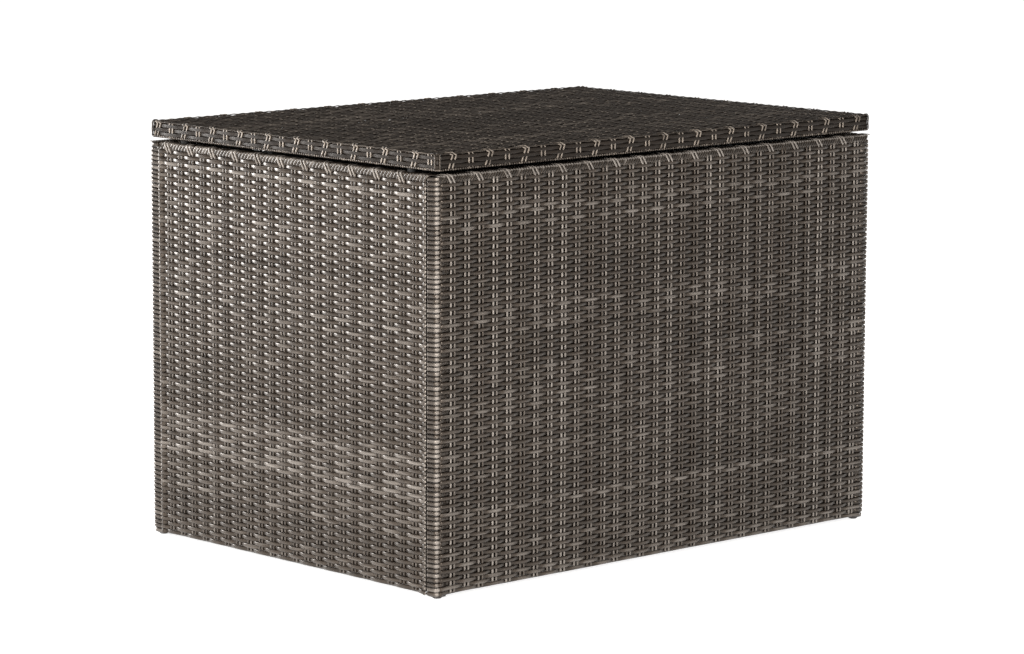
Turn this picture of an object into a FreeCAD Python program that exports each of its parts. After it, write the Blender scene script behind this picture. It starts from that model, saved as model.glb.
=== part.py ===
import FreeCAD, Part
import Sketcher
import math
import os
import re

# Woven garden storage box: four steel-framed wicker panels bolted together at the corners,
# a drop-in floor, a fabric liner, and a lid on two back hinges with two gas struts.
# Frame: millimetres, X along the long side, Y towards the hinges, Z up,
# origin on the ground under the middle of the box.

os.makedirs("parts", exist_ok=True)
doc = FreeCAD.newDocument("StorageBox")

SIZES = [
    ("box_width", 1190, "outside width, along X"),
    ("box_depth", 860, "outside depth, along Y"),
    ("foot_drop", 9, "ground to the bottom edge of the weave"),
    ("weave_height", 791, "bottom edge of the weave to the top of the rim"),
    ("lid_gap", 9, "rim top to lid underside"),
    ("weave", 3, "thickness of a woven skin"),
    ("seam", 0.5, "clearance between neighbouring panels"),
    ("tube_side", 25, "main frame tube, outside"),
    ("tube_wall", 1.2, "wall of every tube"),
    ("tube_round", 3, "outside corner radius of a tube"),
    ("rib_side", 16, "upright ribs behind the weave, outside"),
    ("rib_place", 200, "front and back ribs, either side of the middle"),
    ("cross_side", 20, "floor and lid cross tubes, outside"),
    ("cross_place", 300, "outer cross tubes, either side of the middle"),
    ("skin_round", 8, "outside corner radius of the wrapped posts"),
    ("rim_height", 14, "how far the rim binding comes down the outside"),
    ("floor_weave", 4, "thickness of the woven floor"),
    ("tab_width", 40, "floor support tabs, along the rail"),
    ("tab_reach", 28, "floor support tabs, inward"),
    ("tab_thick", 3, "floor support tabs, thickness"),
    ("tab_place", 400, "outer floor tabs, either side of the middle"),
    ("liner_gap", 6.5, "frame to liner"),
    ("liner_sheet", 1.2, "liner fabric thickness"),
    ("liner_round", 90, "liner corner radius"),
    ("liner_drop", 8, "rim top to the liner's hem"),
    ("eyelet_radius", 8, "hole in the liner for a ball stud"),
    ("stud_radius", 6, "liner press stud"),
    ("stud_cap", 2, "liner press stud, cap thickness"),
    ("stud_drop", 16, "rim top to the press studs"),
    ("stud_x_inner", 140, "inner press studs on the long sides, either side of the middle"),
    ("stud_x_outer", 420, "outer press studs on the long sides, either side of the middle"),
    ("stud_y_front", 250, "front press studs on the short sides, in front of the middle"),
    ("stud_y_back", 220, "back press studs on the short sides, behind the middle"),
    ("foot_flange", 4, "foot under the post"),
    ("foot_stem", 20, "foot inside the post"),
    ("foot_lip", 1, "foot flange beyond the post, all round"),
    ("foot_play", 0.2, "foot stem to tube wall"),
    ("plate_length", 46, "corner joining plate, along Y"),
    ("plate_height", 22, "corner joining plate, along Z"),
    ("plate_thick", 3, "every steel plate"),
    ("plate_low", 110, "lower corner plates, height of the middle"),
    ("plate_high", 700, "upper corner plates, height of the middle"),
    ("bolt_radius", 3, "M6 bolt shank"),
    ("bolt_hole", 3.3, "clearance hole for the bolt"),
    ("bolt_head", 5.25, "bolt head radius"),
    ("bolt_rise", 3.3, "bolt head height"),
    ("bolt_length", 16, "bolt under the head"),
    ("bolt_hex", 2.3, "hexagon socket, corner radius"),
    ("screw_radius", 2, "self-tapping screw shank"),
    ("screw_hole", 2.2, "clearance hole for the screw"),
    ("screw_head", 3.8, "screw head radius"),
    ("screw_rise", 2, "screw head height"),
    ("screw_length", 12, "screw under the head"),
    ("screw_hex", 1.4, "screw recess, corner radius"),
    ("lid_inset", 1, "lid shorter than the box at each end"),
    ("lid_back_inset", 3, "lid shorter than the box at the back"),
    ("lid_skin", 4, "thickness of the woven lid top"),
    ("lid_round", 8, "lid corner radius"),
    ("bumper_radius", 8, "rubber lid bumper"),
    ("bumper_play", 0.2, "bumper to rim with the lid shut"),
    ("bumper_x", 577, "bumpers, either side of the middle"),
    ("bumper_y", 340, "bumpers, front and back of the middle"),
    ("hinge_x", 380, "hinges, either side of the middle"),
    ("hinge_length", 60, "hinge leaf, along X"),
    ("leaf_thick", 2, "hinge leaf thickness"),
    ("leaf_reach", 27, "hinge axis to the leaf's front edge"),
    ("knuckle_radius", 4.2, "hinge knuckle, outside"),
    ("knuckle_gap", 0.4, "between hinge knuckles"),
    ("pin_radius", 2.5, "hinge pin"),
    ("pin_play", 0.05, "hinge pin to knuckle bore"),
    ("strut_x", 542, "strut axis, either side of the middle"),
    ("strut_low_back", 85, "lower ball, in front of the hinge axis"),
    ("strut_low_drop", 60, "lower ball, below the hinge axis"),
    ("strut_top_back", 320, "upper ball, in front of the hinge axis"),
    ("strut_top_drop", 16.5, "upper ball, below the hinge axis"),
    ("strut_tube_radius", 9, "strut cylinder, outside"),
    ("strut_bore", 7.6, "strut cylinder, inside"),
    ("strut_tube_end", 20, "cylinder end to the upper ball"),
    ("strut_tube_start", 32, "cylinder mouth to the lower ball, closed"),
    ("strut_seal", 6, "cylinder end cap thickness"),
    ("rod_radius", 4, "strut rod"),
    ("rod_play", 0.06, "rod to the cylinder's seal"),
    ("rod_start", 9, "lower ball to the rod's end"),
    ("piston_radius", 7.3, "piston on the rod"),
    ("piston_length", 10, "piston on the rod"),
    ("piston_end", 30, "piston end to the upper ball, closed"),
    ("ball_radius", 5, "ball stud"),
    ("ball_play", 0.3, "ball to socket"),
    ("shank_radius", 3, "ball stud shank"),
    ("shank_hole", 3.6, "hole in the socket around the shank"),
    ("socket_radius", 8, "ball socket"),
    ("socket_half", 7, "ball socket, half its length along X"),
    ("socket_neck", 5.5, "ball socket neck radius"),
    ("neck_gap", 4, "lower socket's neck to the closed cylinder"),
    ("bracket_width", 30, "strut bracket, along Y"),
    ("bracket_low", 14, "body bracket below the ball"),
    ("bracket_top", 2, "top rail's upper face to the body bracket's end"),
    ("lid_leg_width", 24, "lid bracket, along Y"),
    ("lid_leg_x", 557, "lid bracket's hanging leg, outer face"),
    ("lid_leg_drop", 9, "lid bracket below the ball"),
    ("lid_flange", 30, "lid bracket's flat flange, along X"),
    ("open_play", 0.5, "lid stud to socket: the opened pivot"),
    ("cut_over", 1, "how far a cutting shape runs past the face it cuts"),
]

sheet = doc.addObject("Spreadsheet::Sheet", "Sizes")
for row, (alias, value, note) in enumerate(SIZES, start=1):
    sheet.set(f"A{row}", note)
    sheet.set(f"B{row}", str(value))
    sheet.setAlias(f"B{row}", alias)
doc.recompute()
ALIASES = [alias for alias, value, note in SIZES]
ALIAS_WORD = re.compile(r"\b(" + "|".join(sorted(ALIASES, key=len, reverse=True)) + r")\b")


def size(alias):
    """The number in one cell."""
    return float(getattr(sheet, alias))


def bind(thing, prop, formula):
    """Bind a property to a formula written with the sheet's aliases."""
    thing.setExpression(prop, ALIAS_WORD.sub(r"Sizes.\1", formula))


def place(thing, x, y, z, rotation=None):
    """Give a thing a turn and bind its position."""
    if rotation is not None:
        thing.Placement = FreeCAD.Placement(FreeCAD.Vector(0, 0, 0), rotation)
    for prop, formula in (("x", x), ("y", y), ("z", z)):
        bind(thing, f"Placement.Base.{prop}", formula)


# Planes that many pieces share, as formulas.
HALF_X = "box_width/2"
HALF_Y = "box_depth/2"
RIM = "(foot_drop + weave_height)"
PANEL = "(weave + tube_side)"
LID_BASE = "(foot_drop + weave_height + lid_gap)"
LID_TOP = "(foot_drop + weave_height + lid_gap + weave + tube_side + lid_skin)"
AXIS_Y = "(box_depth/2 - lid_gap/2)"
AXIS_Z = "(foot_drop + weave_height + lid_gap/2)"
INNER_X = f"({HALF_X} - {PANEL})"
INNER_Y = f"({HALF_Y} - {PANEL})"
SIDE_Y = f"({HALF_Y} - {PANEL} - seam)"
TUBE_LOW = "(foot_drop + weave)"
RAIL_TOP = "(foot_drop + weave + tube_side)"
UPPER_RAIL = f"({RIM} - weave - tube_side)"

UP = FreeCAD.Rotation()
ALONG_X = FreeCAD.Rotation(FreeCAD.Vector(0, 1, 0), 90)
ALONG_Y = FreeCAD.Rotation(FreeCAD.Vector(1, 0, 0), -90)
nodes = []


def finish(thing, label):
    """Name a finished sub-part."""
    thing.Label = label
    nodes.append(thing)
    return thing


def block(name, x, y, z):
    """A box between two formulas on each axis."""
    box = doc.addObject("Part::Box", name)
    for prop, (low, high) in (("Length", x), ("Width", y), ("Height", z)):
        bind(box, prop, f"({high}) - ({low})")
    place(box, x[0], y[0], z[0])
    return box


def rod(name, radius, length, x, y, z, rotation=UP):
    """A cylinder that starts at a point and runs along its turned Z."""
    bar = doc.addObject("Part::Cylinder", name)
    bind(bar, "Radius", radius)
    bind(bar, "Height", length)
    place(bar, x, y, z, rotation)
    return bar


def ball(name, radius, x="0", y="0", z="0"):
    """A sphere."""
    sphere = doc.addObject("Part::Sphere", name)
    bind(sphere, "Radius", radius)
    place(sphere, x, y, z)
    return sphere


def fuse(name, things):
    """Join several shapes."""
    joined = doc.addObject("Part::MultiFuse", name)
    joined.Shapes = things
    return joined


def cut(name, base, tool):
    """Take one shape out of another."""
    result = doc.addObject("Part::Cut", name)
    result.Base = base
    result.Tool = tool
    return result


def round_edges(name, base, radius, wanted):
    """Round the straight edges of a shape that a test picks."""
    doc.recompute()
    picked = []
    for number, edge in enumerate(base.Shape.Edges, start=1):
        if len(edge.Vertexes) == 2 and wanted(edge.Vertexes[0].Point, edge.Vertexes[1].Point):
            picked.append((number, size(radius), size(radius)))
    rounded = doc.addObject("Part::Fillet", name)
    rounded.Base = base
    rounded.Edges = picked
    return rounded


def upright_at(x, y):
    """Test for a vertical edge at a distance from the middle planes."""
    def wanted(start, end):
        vertical = abs(start.x - end.x) < 0.01 and abs(start.y - end.y) < 0.01
        return vertical and abs(abs(start.x) - x) < 0.01 and abs(abs(start.y) - y) < 0.01
    return wanted


def plane_of(body, role):
    """One of a body's own origin planes."""
    return next(item for item in body.Origin.OriginFeatures if item.Role == role)


def rectangle(body, name, width, height):
    """A centred rectangle sketch on the body's XY plane, bound to two formulas."""
    sketch = body.newObject("Sketcher::SketchObject", name)
    sketch.AttachmentSupport = (plane_of(body, "XY_Plane"), [""])
    sketch.MapMode = "FlatFace"
    corners = [(-5, -5), (5, -5), (5, 5), (-5, 5)]
    for index, (x, y) in enumerate(corners):
        next_x, next_y = corners[(index + 1) % 4]
        sketch.addGeometry(Part.LineSegment(FreeCAD.Vector(x, y, 0), FreeCAD.Vector(next_x, next_y, 0)))
    for index in range(4):
        sketch.addConstraint(Sketcher.Constraint("Coincident", index, 2, (index + 1) % 4, 1))
    for index, direction in enumerate(["Horizontal", "Vertical", "Horizontal", "Vertical"]):
        sketch.addConstraint(Sketcher.Constraint(direction, index))
    sketch.addConstraint(Sketcher.Constraint("Symmetric", 0, 1, 1, 2, -1, 1))
    across = sketch.addConstraint(Sketcher.Constraint("DistanceX", 0, 1, 0, 2, 10))
    along = sketch.addConstraint(Sketcher.Constraint("DistanceY", 1, 1, 1, 2, 10))
    bind(sketch, f"Constraints[{across}]", width)
    bind(sketch, f"Constraints[{along}]", height)
    return sketch


def long_edges(shape):
    """Names of the edges that run along Z."""
    names = []
    for number, edge in enumerate(shape.Edges, start=1):
        start, end = (vertex.Point for vertex in edge.Vertexes[:2])
        if abs(start.x - end.x) < 0.01 and abs(start.y - end.y) < 0.01:
            names.append(f"Edge{number}")
    return names


def bar_body(name, width, height, length, radius):
    """A body: a rectangular bar along Z with rounded long edges."""
    body = doc.addObject("PartDesign::Body", name)
    pad = body.newObject("PartDesign::Pad", f"{name}_pad")
    pad.Profile = rectangle(body, f"{name}_outline", width, height)
    bind(pad, "Length", length)
    doc.recompute()
    fillet = body.newObject("PartDesign::Fillet", f"{name}_round")
    fillet.Base = (pad, long_edges(pad.Shape))
    bind(fillet, "Radius", radius)
    return body


def tube(name, side, length, x, y, z, rotation=UP):
    """A square tube along its turned Z, centred on the given point of its start face."""
    body = bar_body(name, side, side, length, "tube_round")
    pocket = body.newObject("PartDesign::Pocket", f"{name}_bore")
    pocket.Profile = rectangle(body, f"{name}_inside", f"{side} - 2*tube_wall", f"{side} - 2*tube_wall")
    pocket.Type = 1
    pocket.Midplane = True
    place(body, x, y, z, rotation)
    return body


def group(label, master, placements):
    """Identical loose pieces as one node of separate solids."""
    doc.recompute()
    copies = []
    for placement in placements:
        shape = master.Shape.copy()
        shape.Placement = placement
        copies.append(shape)
    thing = doc.addObject("Part::Feature", label)
    thing.Shape = Part.makeCompound(copies)
    return finish(thing, label)


def at(x, y, z, axis=None):
    """A placement whose Z points along an axis."""
    turn = FreeCAD.Rotation(FreeCAD.Vector(0, 0, 1), FreeCAD.Vector(*axis)) if axis else UP
    return FreeCAD.Placement(FreeCAD.Vector(x, y, z), turn)


# ---- panel frames -------------------------------------------------------------------------

def long_frame(label, sign):
    """Front or back frame: two posts to the ground, two rails, two ribs and three floor tabs."""
    flip = "" if sign > 0 else "-"
    middle_y = f"{flip}({HALF_Y} - weave - tube_side/2)"
    post_x = f"({HALF_X} - weave - tube_side/2)"
    pieces = []
    for number, way in enumerate(("-", "")):
        pieces.append(tube(f"{label}_post{number}", "tube_side", f"{RIM} - weave - foot_flange",
                           f"{way}{post_x}", middle_y, "foot_flange"))
        pieces.append(tube(f"{label}_rib{number}", "rib_side", f"{UPPER_RAIL} - {RAIL_TOP}",
                           f"{way}rib_place", f"{flip}({HALF_Y} - weave - rib_side/2)", RAIL_TOP))
    for name, height in (("low", f"{TUBE_LOW} + tube_side/2"), ("high", f"{UPPER_RAIL} + tube_side/2")):
        pieces.append(tube(f"{label}_{name}_rail", "tube_side", f"2*{INNER_X}",
                           f"-{INNER_X}", middle_y, height, ALONG_X))
    edge = f"{flip}{INNER_Y}"
    reach = f"{flip}({INNER_Y} - tab_reach)"
    span = (reach, edge) if sign > 0 else (edge, reach)
    for number, centre in enumerate(("-tab_place", "0", "tab_place")):
        tab = block(f"{label}_tab{number}", (f"{centre} - tab_width/2", f"{centre} + tab_width/2"),
                    span, (f"{RAIL_TOP} - cross_side - tab_thick", f"{RAIL_TOP} - cross_side"))
        hole = rod(f"{label}_tab_hole{number}", "bolt_hole", "tab_thick", centre,
                   f"{flip}({INNER_Y} - 2*seam - cross_side/2)", f"{RAIL_TOP} - cross_side - tab_thick")
        pieces.append(cut(f"{label}_tab_cut{number}", tab, hole))
    return finish(fuse(f"{label}_welded", pieces), label)


def side_frame(label, sign):
    """Left or right frame: two stiles, two rails and a rib, between the long panels."""
    flip = "" if sign > 0 else "-"
    middle_x = f"{flip}({HALF_X} - weave - tube_side/2)"
    pieces = []
    for number, way in enumerate(("-", "")):
        pieces.append(tube(f"{label}_stile{number}", "tube_side", f"{RIM} - weave - {TUBE_LOW}",
                           middle_x, f"{way}({SIDE_Y} - tube_side/2)", TUBE_LOW))
    for name, height in (("low", f"{TUBE_LOW} + tube_side/2"), ("high", f"{UPPER_RAIL} + tube_side/2")):
        pieces.append(tube(f"{label}_{name}_rail", "tube_side", f"2*({SIDE_Y} - tube_side)",
                           middle_x, f"-({SIDE_Y} - tube_side)", height, ALONG_Y))
    pieces.append(tube(f"{label}_rib", "rib_side", f"{UPPER_RAIL} - {RAIL_TOP}",
                       f"{flip}({HALF_X} - weave - rib_side/2)", "0", RAIL_TOP))
    return finish(fuse(f"{label}_welded", pieces), label)


long_frame("front_frame", -1)
long_frame("back_frame", 1)
side_frame("left_frame", -1)
side_frame("right_frame", 1)


# ---- woven skins and rim bindings ---------------------------------------------------------

def mirrored(low, high, sign):
    """A span on the positive side, or its mirror image."""
    return (low, high) if sign > 0 else (f"-({high})", f"-({low})")


def long_weave(label, sign):
    """Front or back weave between the posts: the face and its return under the rail."""
    span = (f"-{INNER_X}", INNER_X)
    face = block(f"{label}_face", span, mirrored(f"{HALF_Y} - weave", HALF_Y, sign),
                 ("foot_drop", f"{RIM} - rim_height"))
    under = block(f"{label}_under", span, mirrored(INNER_Y, f"{HALF_Y} - weave", sign),
                  ("foot_drop", TUBE_LOW))
    return finish(fuse(f"{label}_both", [face, under]), label)


def post_wrap(label, way_x, way_y):
    """Strand wound round the outside of one corner post, down to its foot."""
    outer = block(f"{label}_outer", mirrored(INNER_X, HALF_X, way_x), mirrored(INNER_Y, HALF_Y, way_y),
                  ("foot_flange + seam", f"{RIM} - rim_height"))
    rounded = round_edges(f"{label}_rounded", outer, "skin_round",
                          upright_at(size("box_width") / 2, size("box_depth") / 2))
    post = block(f"{label}_post", mirrored(f"{INNER_X} - cut_over", f"{HALF_X} - weave", way_x),
                 mirrored(f"{INNER_Y} - cut_over", f"{HALF_Y} - weave", way_y),
                 ("0", RIM))
    return finish(cut(f"{label}_shell", rounded, post), label)


def side_weave(label, sign):
    """Left or right weave: the face and its return under the rail."""
    span = (f"-{SIDE_Y}", SIDE_Y)
    face = block(f"{label}_face", mirrored(f"{HALF_X} - weave", HALF_X, sign), span,
                 ("foot_drop", f"{RIM} - rim_height"))
    under = block(f"{label}_under", mirrored(INNER_X, f"{HALF_X} - weave", sign), span,
                  ("foot_drop", TUBE_LOW))
    return finish(fuse(f"{label}_both", [face, under]), label)


def long_binding(label, sign):
    """Front or back rim binding: over the rail, down the outside and round the posts."""
    outer = block(f"{label}_outer", (f"-{HALF_X}", HALF_X), mirrored(INNER_Y, HALF_Y, sign),
                  (f"{RIM} - rim_height", RIM))
    rounded = round_edges(f"{label}_rounded", outer, "skin_round",
                          upright_at(size("box_width") / 2, size("box_depth") / 2))
    hollow = block(f"{label}_hollow", (f"-{HALF_X} + weave", f"{HALF_X} - weave"),
                   mirrored(f"{INNER_Y} - cut_over", f"{HALF_Y} - weave", sign),
                   (f"{RIM} - rim_height - cut_over", f"{RIM} - weave"))
    return finish(cut(f"{label}_shell", rounded, hollow), label)


def side_binding(label, sign):
    """Left or right rim binding."""
    span = (f"-{SIDE_Y}", SIDE_Y)
    face = block(f"{label}_face", mirrored(f"{HALF_X} - weave", HALF_X, sign), span,
                 (f"{RIM} - rim_height", f"{RIM} - weave"))
    top = block(f"{label}_top", mirrored(INNER_X, HALF_X, sign), span, (f"{RIM} - weave", RIM))
    return finish(fuse(f"{label}_both", [face, top]), label)


long_weave("front_weave", -1)
long_weave("back_weave", 1)
side_weave("left_weave", -1)
side_weave("right_weave", 1)
post_wrap("post_wrap_front_left", -1, -1)
post_wrap("post_wrap_front_right", 1, -1)
post_wrap("post_wrap_back_left", -1, 1)
post_wrap("post_wrap_back_right", 1, 1)
long_binding("front_rim_binding", -1)
long_binding("back_rim_binding", 1)
side_binding("left_rim_binding", -1)
side_binding("right_rim_binding", 1)


# ---- floor --------------------------------------------------------------------------------

FLOOR_X = f"({INNER_X} - 2*seam)"
FLOOR_Y = f"({INNER_Y} - 2*seam)"


def floor_frame():
    """Two long tubes, two end tubes and three cross tubes that drop onto the tabs."""
    middle_z = f"{RAIL_TOP} - cross_side/2"
    pieces = []
    for number, way in enumerate(("-", "")):
        pieces.append(tube(f"floor_long{number}", "cross_side", f"2*{FLOOR_X}", f"-{FLOOR_X}",
                           f"{way}({FLOOR_Y} - cross_side/2)", middle_z, ALONG_X))
    crossings = [f"-({FLOOR_X} - cross_side/2)", "-cross_place", "0", "cross_place",
                 f"{FLOOR_X} - cross_side/2"]
    for number, x in enumerate(crossings):
        pieces.append(tube(f"floor_cross{number}", "cross_side", f"2*({FLOOR_Y} - cross_side)", x,
                           f"-({FLOOR_Y} - cross_side)", middle_z, ALONG_Y))
    return finish(fuse("floor_welded", pieces), "floor_frame")


floor_frame()
finish(block("floor_sheet", (f"-{FLOOR_X}", FLOOR_X), (f"-{FLOOR_Y}", FLOOR_Y),
             (RAIL_TOP, f"{RAIL_TOP} + floor_weave")), "floor_weave")


# ---- feet ---------------------------------------------------------------------------------

for foot_name, sign_x, sign_y in (("foot_front_left", -1, -1), ("foot_front_right", 1, -1),
                                  ("foot_back_left", -1, 1), ("foot_back_right", 1, 1)):
    flange_side = "tube_side + 2*foot_lip"
    flange = bar_body(f"{foot_name}_flange", flange_side, flange_side, "foot_flange", "tube_round")
    stem_side = "tube_side - 2*tube_wall - 2*foot_play"
    stem = bar_body(f"{foot_name}_stem", stem_side, stem_side, "foot_flange + foot_stem", "foot_play")
    foot = fuse(f"{foot_name}_plug", [flange, stem])
    flip_x = "" if sign_x > 0 else "-"
    flip_y = "" if sign_y > 0 else "-"
    place(foot, f"{flip_x}({HALF_X} - weave - tube_side/2)", f"{flip_y}({HALF_Y} - weave - tube_side/2)", "0")
    finish(foot, foot_name)


# ---- lid ----------------------------------------------------------------------------------

LID_X = "(box_width/2 - lid_inset)"
LID_FRONT = "box_depth/2"
LID_BACK = "(box_depth/2 - lid_back_inset)"
LID_TUBE = f"({LID_BASE} + weave)"
LID_MIDDLE = f"({LID_TUBE} + tube_side/2)"


def lid_frame():
    """The lid's welded frame: four edge tubes and three cross tubes under the weave."""
    pieces = []
    span = f"{LID_FRONT} + {LID_BACK} - 2*weave"
    for number, way in enumerate(("-", "")):
        pieces.append(tube(f"lid_end{number}", "tube_side", span, f"{way}({LID_X} - weave - tube_side/2)",
                           f"-({LID_FRONT} - weave)", LID_MIDDLE, ALONG_Y))
    for name, y in (("front", f"-({LID_FRONT} - weave - tube_side/2)"),
                    ("back", f"{LID_BACK} - weave - tube_side/2")):
        pieces.append(tube(f"lid_{name}_tube", "tube_side", f"2*({LID_X} - weave - tube_side)",
                           f"-({LID_X} - weave - tube_side)", y, LID_MIDDLE, ALONG_X))
    for number, x in enumerate(("-cross_place", "0", "cross_place")):
        pieces.append(tube(f"lid_cross{number}", "cross_side", f"{span} - 2*tube_side", x,
                           f"-({LID_FRONT} - weave - tube_side)",
                           f"{LID_TUBE} + tube_side - cross_side/2", ALONG_Y))
    return finish(fuse("lid_welded", pieces), "lid_frame")


def lid_slab(name, inset, low, high):
    """A slab of the lid's outline, moved in by an inset."""
    return block(name, (f"-({LID_X} - {inset})", f"{LID_X} - {inset}"),
                 (f"-({LID_FRONT} - {inset})", f"{LID_BACK} - {inset}"), (low, high))


def lid_corner(start, end):
    """Test for a vertical edge of a lid slab."""
    return abs(start.x - end.x) < 0.01 and abs(start.y - end.y) < 0.01


def lid_ring(label, low, high, inset):
    """A ring round the lid's outline, from its outside in to an inset."""
    outer = round_edges(f"{label}_rounded", lid_slab(f"{label}_outer", "0", low, high), "lid_round",
                        lid_corner)
    inner = lid_slab(f"{label}_inner", inset, f"{low} - cut_over", f"{high} + cut_over")
    return finish(cut(f"{label}_ring", outer, inner), label)


lid_frame()
finish(round_edges("lid_top_rounded", lid_slab("lid_top", "0", f"{LID_TUBE} + tube_side", LID_TOP),
                   "lid_round", lid_corner), "lid_top_weave")
lid_ring("lid_edge_weave", LID_TUBE, f"{LID_TUBE} + tube_side", "weave")
lid_ring("lid_binding", LID_BASE, LID_TUBE, PANEL)

bumper = rod("bumper", "bumper_radius", "lid_gap - bumper_play", "0", "0", "0")
bumper_z = size("foot_drop") + size("weave_height") + size("bumper_play")
group("lid_bumpers", bumper, [at(x * size("bumper_x"), y * size("bumper_y"), bumper_z)
                              for x in (-1, 1) for y in (-1, 1)])


# ---- fasteners ----------------------------------------------------------------------------

def socket_screw(name, shank, head, rise, length, recess):
    """A round-head screw: head above Z = 0, shank below, with a hexagon recess."""
    stem = rod(f"{name}_stem", shank, length, "0", "0", f"-({length})")
    cap = rod(f"{name}_cap", head, rise, "0", "0", "0")
    key = doc.addObject("Part::Prism", f"{name}_key")
    key.Polygon = 6
    bind(key, "Circumradius", recess)
    bind(key, "Height", rise)
    place(key, "0", "0", f"{rise}/3")
    return cut(name, fuse(f"{name}_blank", [stem, cap]), key)


bolt = socket_screw("bolt", "bolt_radius", "bolt_head", "bolt_rise", "bolt_length", "bolt_hex")
screw = socket_screw("screw", "screw_radius", "screw_head", "screw_rise", "screw_length", "screw_hex")


# ---- corner plates and the bolts ----------------------------------------------------------

frame_face = size("box_width") / 2 - size("weave") - size("tube_side")
seam_y = size("box_depth") / 2 - size("weave") - size("tube_side") - size("seam") / 2
plate_bolt_step = size("tube_side") / 2

plate = bar_body("corner_plate", "plate_height", "plate_length", "plate_thick", "tube_round")
for hole_number, hole_way in enumerate((-1, 1)):
    doc.recompute()
    drill = plate.newObject("PartDesign::Pocket", f"corner_plate_hole{hole_number}")
    circle = plate.newObject("Sketcher::SketchObject", f"corner_plate_circle{hole_number}")
    circle.AttachmentSupport = (plane_of(plate, "XY_Plane"), [""])
    circle.MapMode = "FlatFace"
    centre = FreeCAD.Vector(0, hole_way * plate_bolt_step, 0)
    circle.addGeometry(Part.Circle(centre, FreeCAD.Vector(0, 0, 1), size("bolt_hole")))
    drill.Profile = circle
    drill.Type = 1
    drill.Midplane = True

plates = []
corner_bolts = []
for way_x in (-1, 1):
    turn = FreeCAD.Rotation(FreeCAD.Vector(0, 1, 0), -90 * way_x)
    for way_y in (-1, 1):
        for height in (size("plate_low"), size("plate_high")):
            plates.append(FreeCAD.Placement(FreeCAD.Vector(way_x * frame_face, way_y * seam_y, height), turn))
            for step in (-plate_bolt_step, plate_bolt_step):
                corner_bolts.append(at(way_x * (frame_face - size("plate_thick")), way_y * seam_y + step,
                                       height, (-way_x, 0, 0)))
group("corner_plates", plate, plates)
group("corner_bolts", bolt, corner_bolts)

tab_under = (size("foot_drop") + size("weave") + size("tube_side") - size("cross_side")
             - size("tab_thick"))
tab_bolt_y = (size("box_depth") / 2 - size("weave") - size("tube_side") - 2 * size("seam")
              - size("cross_side") / 2)
group("floor_bolts", bolt, [at(x * size("tab_place"), y * tab_bolt_y, tab_under, (0, 0, -1))
                            for x in (-1, 0, 1) for y in (-1, 1)])


# ---- liner --------------------------------------------------------------------------------

LINER_LOW = f"({RAIL_TOP} + floor_weave)"


def liner_solid(name, inset, low, high):
    """A rounded upright block of the liner's outline, moved in by an inset."""
    body = bar_body(name, f"2*({INNER_X} - liner_gap - {inset})", f"2*({INNER_Y} - liner_gap - {inset})",
                    f"({high}) - ({low})", f"liner_round - {inset}")
    place(body, "0", "0", low)
    return body


liner_outside = liner_solid("liner_outside", "0", LINER_LOW, f"{RIM} - liner_drop")
liner_inside = liner_solid("liner_inside", "liner_sheet", f"{LINER_LOW} + liner_sheet", f"{RIM}")
eyelet = rod("liner_eyelets", "eyelet_radius", "box_width", f"-{HALF_X}", f"{AXIS_Y} - strut_low_back",
             f"{AXIS_Z} - strut_low_drop", ALONG_X)
finish(cut("liner_bag", liner_outside, fuse("liner_openings", [liner_inside, eyelet])), "liner")

spacer = rod("liner_spacer", "stud_radius", "liner_gap", "0", "0", "0")
cap_disc = rod("liner_cap", "stud_radius", "stud_cap", "0", "0", "liner_gap + liner_sheet")
stud_pair = doc.addObject("Part::Compound", "liner_stud")
stud_pair.Links = [spacer, cap_disc]
stud_z = size("foot_drop") + size("weave_height") - size("stud_drop")
inner_y = size("box_depth") / 2 - size("weave") - size("tube_side")
studs = []
for way in (-1, 1):
    for place_x in ("stud_x_inner", "stud_x_outer"):
        for side in (-1, 1):
            studs.append(at(side * size(place_x), way * inner_y, stud_z, (0, -way, 0)))
    for y in (-size("stud_y_front"), 0, size("stud_y_back")):
        studs.append(at(way * frame_face, y, stud_z, (-way, 0, 0)))
group("liner_studs", stud_pair, studs)


# ---- hinges -------------------------------------------------------------------------------

KNUCKLES = 5
PITCH = f"(hinge_length/{KNUCKLES})"


def hinge_leaf(label, centre, sign, own):
    """One leaf: a drilled plate with tongues that carry its knuckles round the pin's axis."""
    start = f"({centre} - hinge_length/2)"
    outer = f"({AXIS_Z} + {sign}*lid_gap/2)"
    inner = f"({AXIS_Z} + {sign}*(lid_gap/2 - leaf_thick))"
    span_z = (inner, outer) if sign > 0 else (outer, inner)
    clear_y = f"{AXIS_Y} - knuckle_radius - 2*knuckle_gap"
    pieces = [block(f"{label}_plate", (start, f"{start} + hinge_length"),
                    (f"{AXIS_Y} - leaf_reach", clear_y), span_z)]
    for number in own:
        low = f"{start} + {number}*{PITCH} + knuckle_gap/2"
        width = f"{PITCH} - knuckle_gap"
        pieces.append(block(f"{label}_tongue{number}", (low, f"{low} + {width}"), (clear_y, AXIS_Y), span_z))
        pieces.append(rod(f"{label}_knuckle{number}", "knuckle_radius", width, low, AXIS_Y, AXIS_Z, ALONG_X))
    holes = [rod(f"{label}_bore", "pin_radius + pin_play", "hinge_length + 2*cut_over",
                 f"{start} - cut_over", AXIS_Y, AXIS_Z, ALONG_X)]
    for number, way in enumerate(("-", "+")):
        holes.append(rod(f"{label}_hole{number}", "screw_hole", "2*leaf_thick",
                         f"{centre} {way} hinge_length/3", f"{AXIS_Y} - leaf_reach*2/3",
                         f"{span_z[0]} - leaf_thick/2"))
    return finish(cut(f"{label}_drilled", fuse(f"{label}_solid", pieces), fuse(f"{label}_holes", holes)),
                  label)


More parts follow.
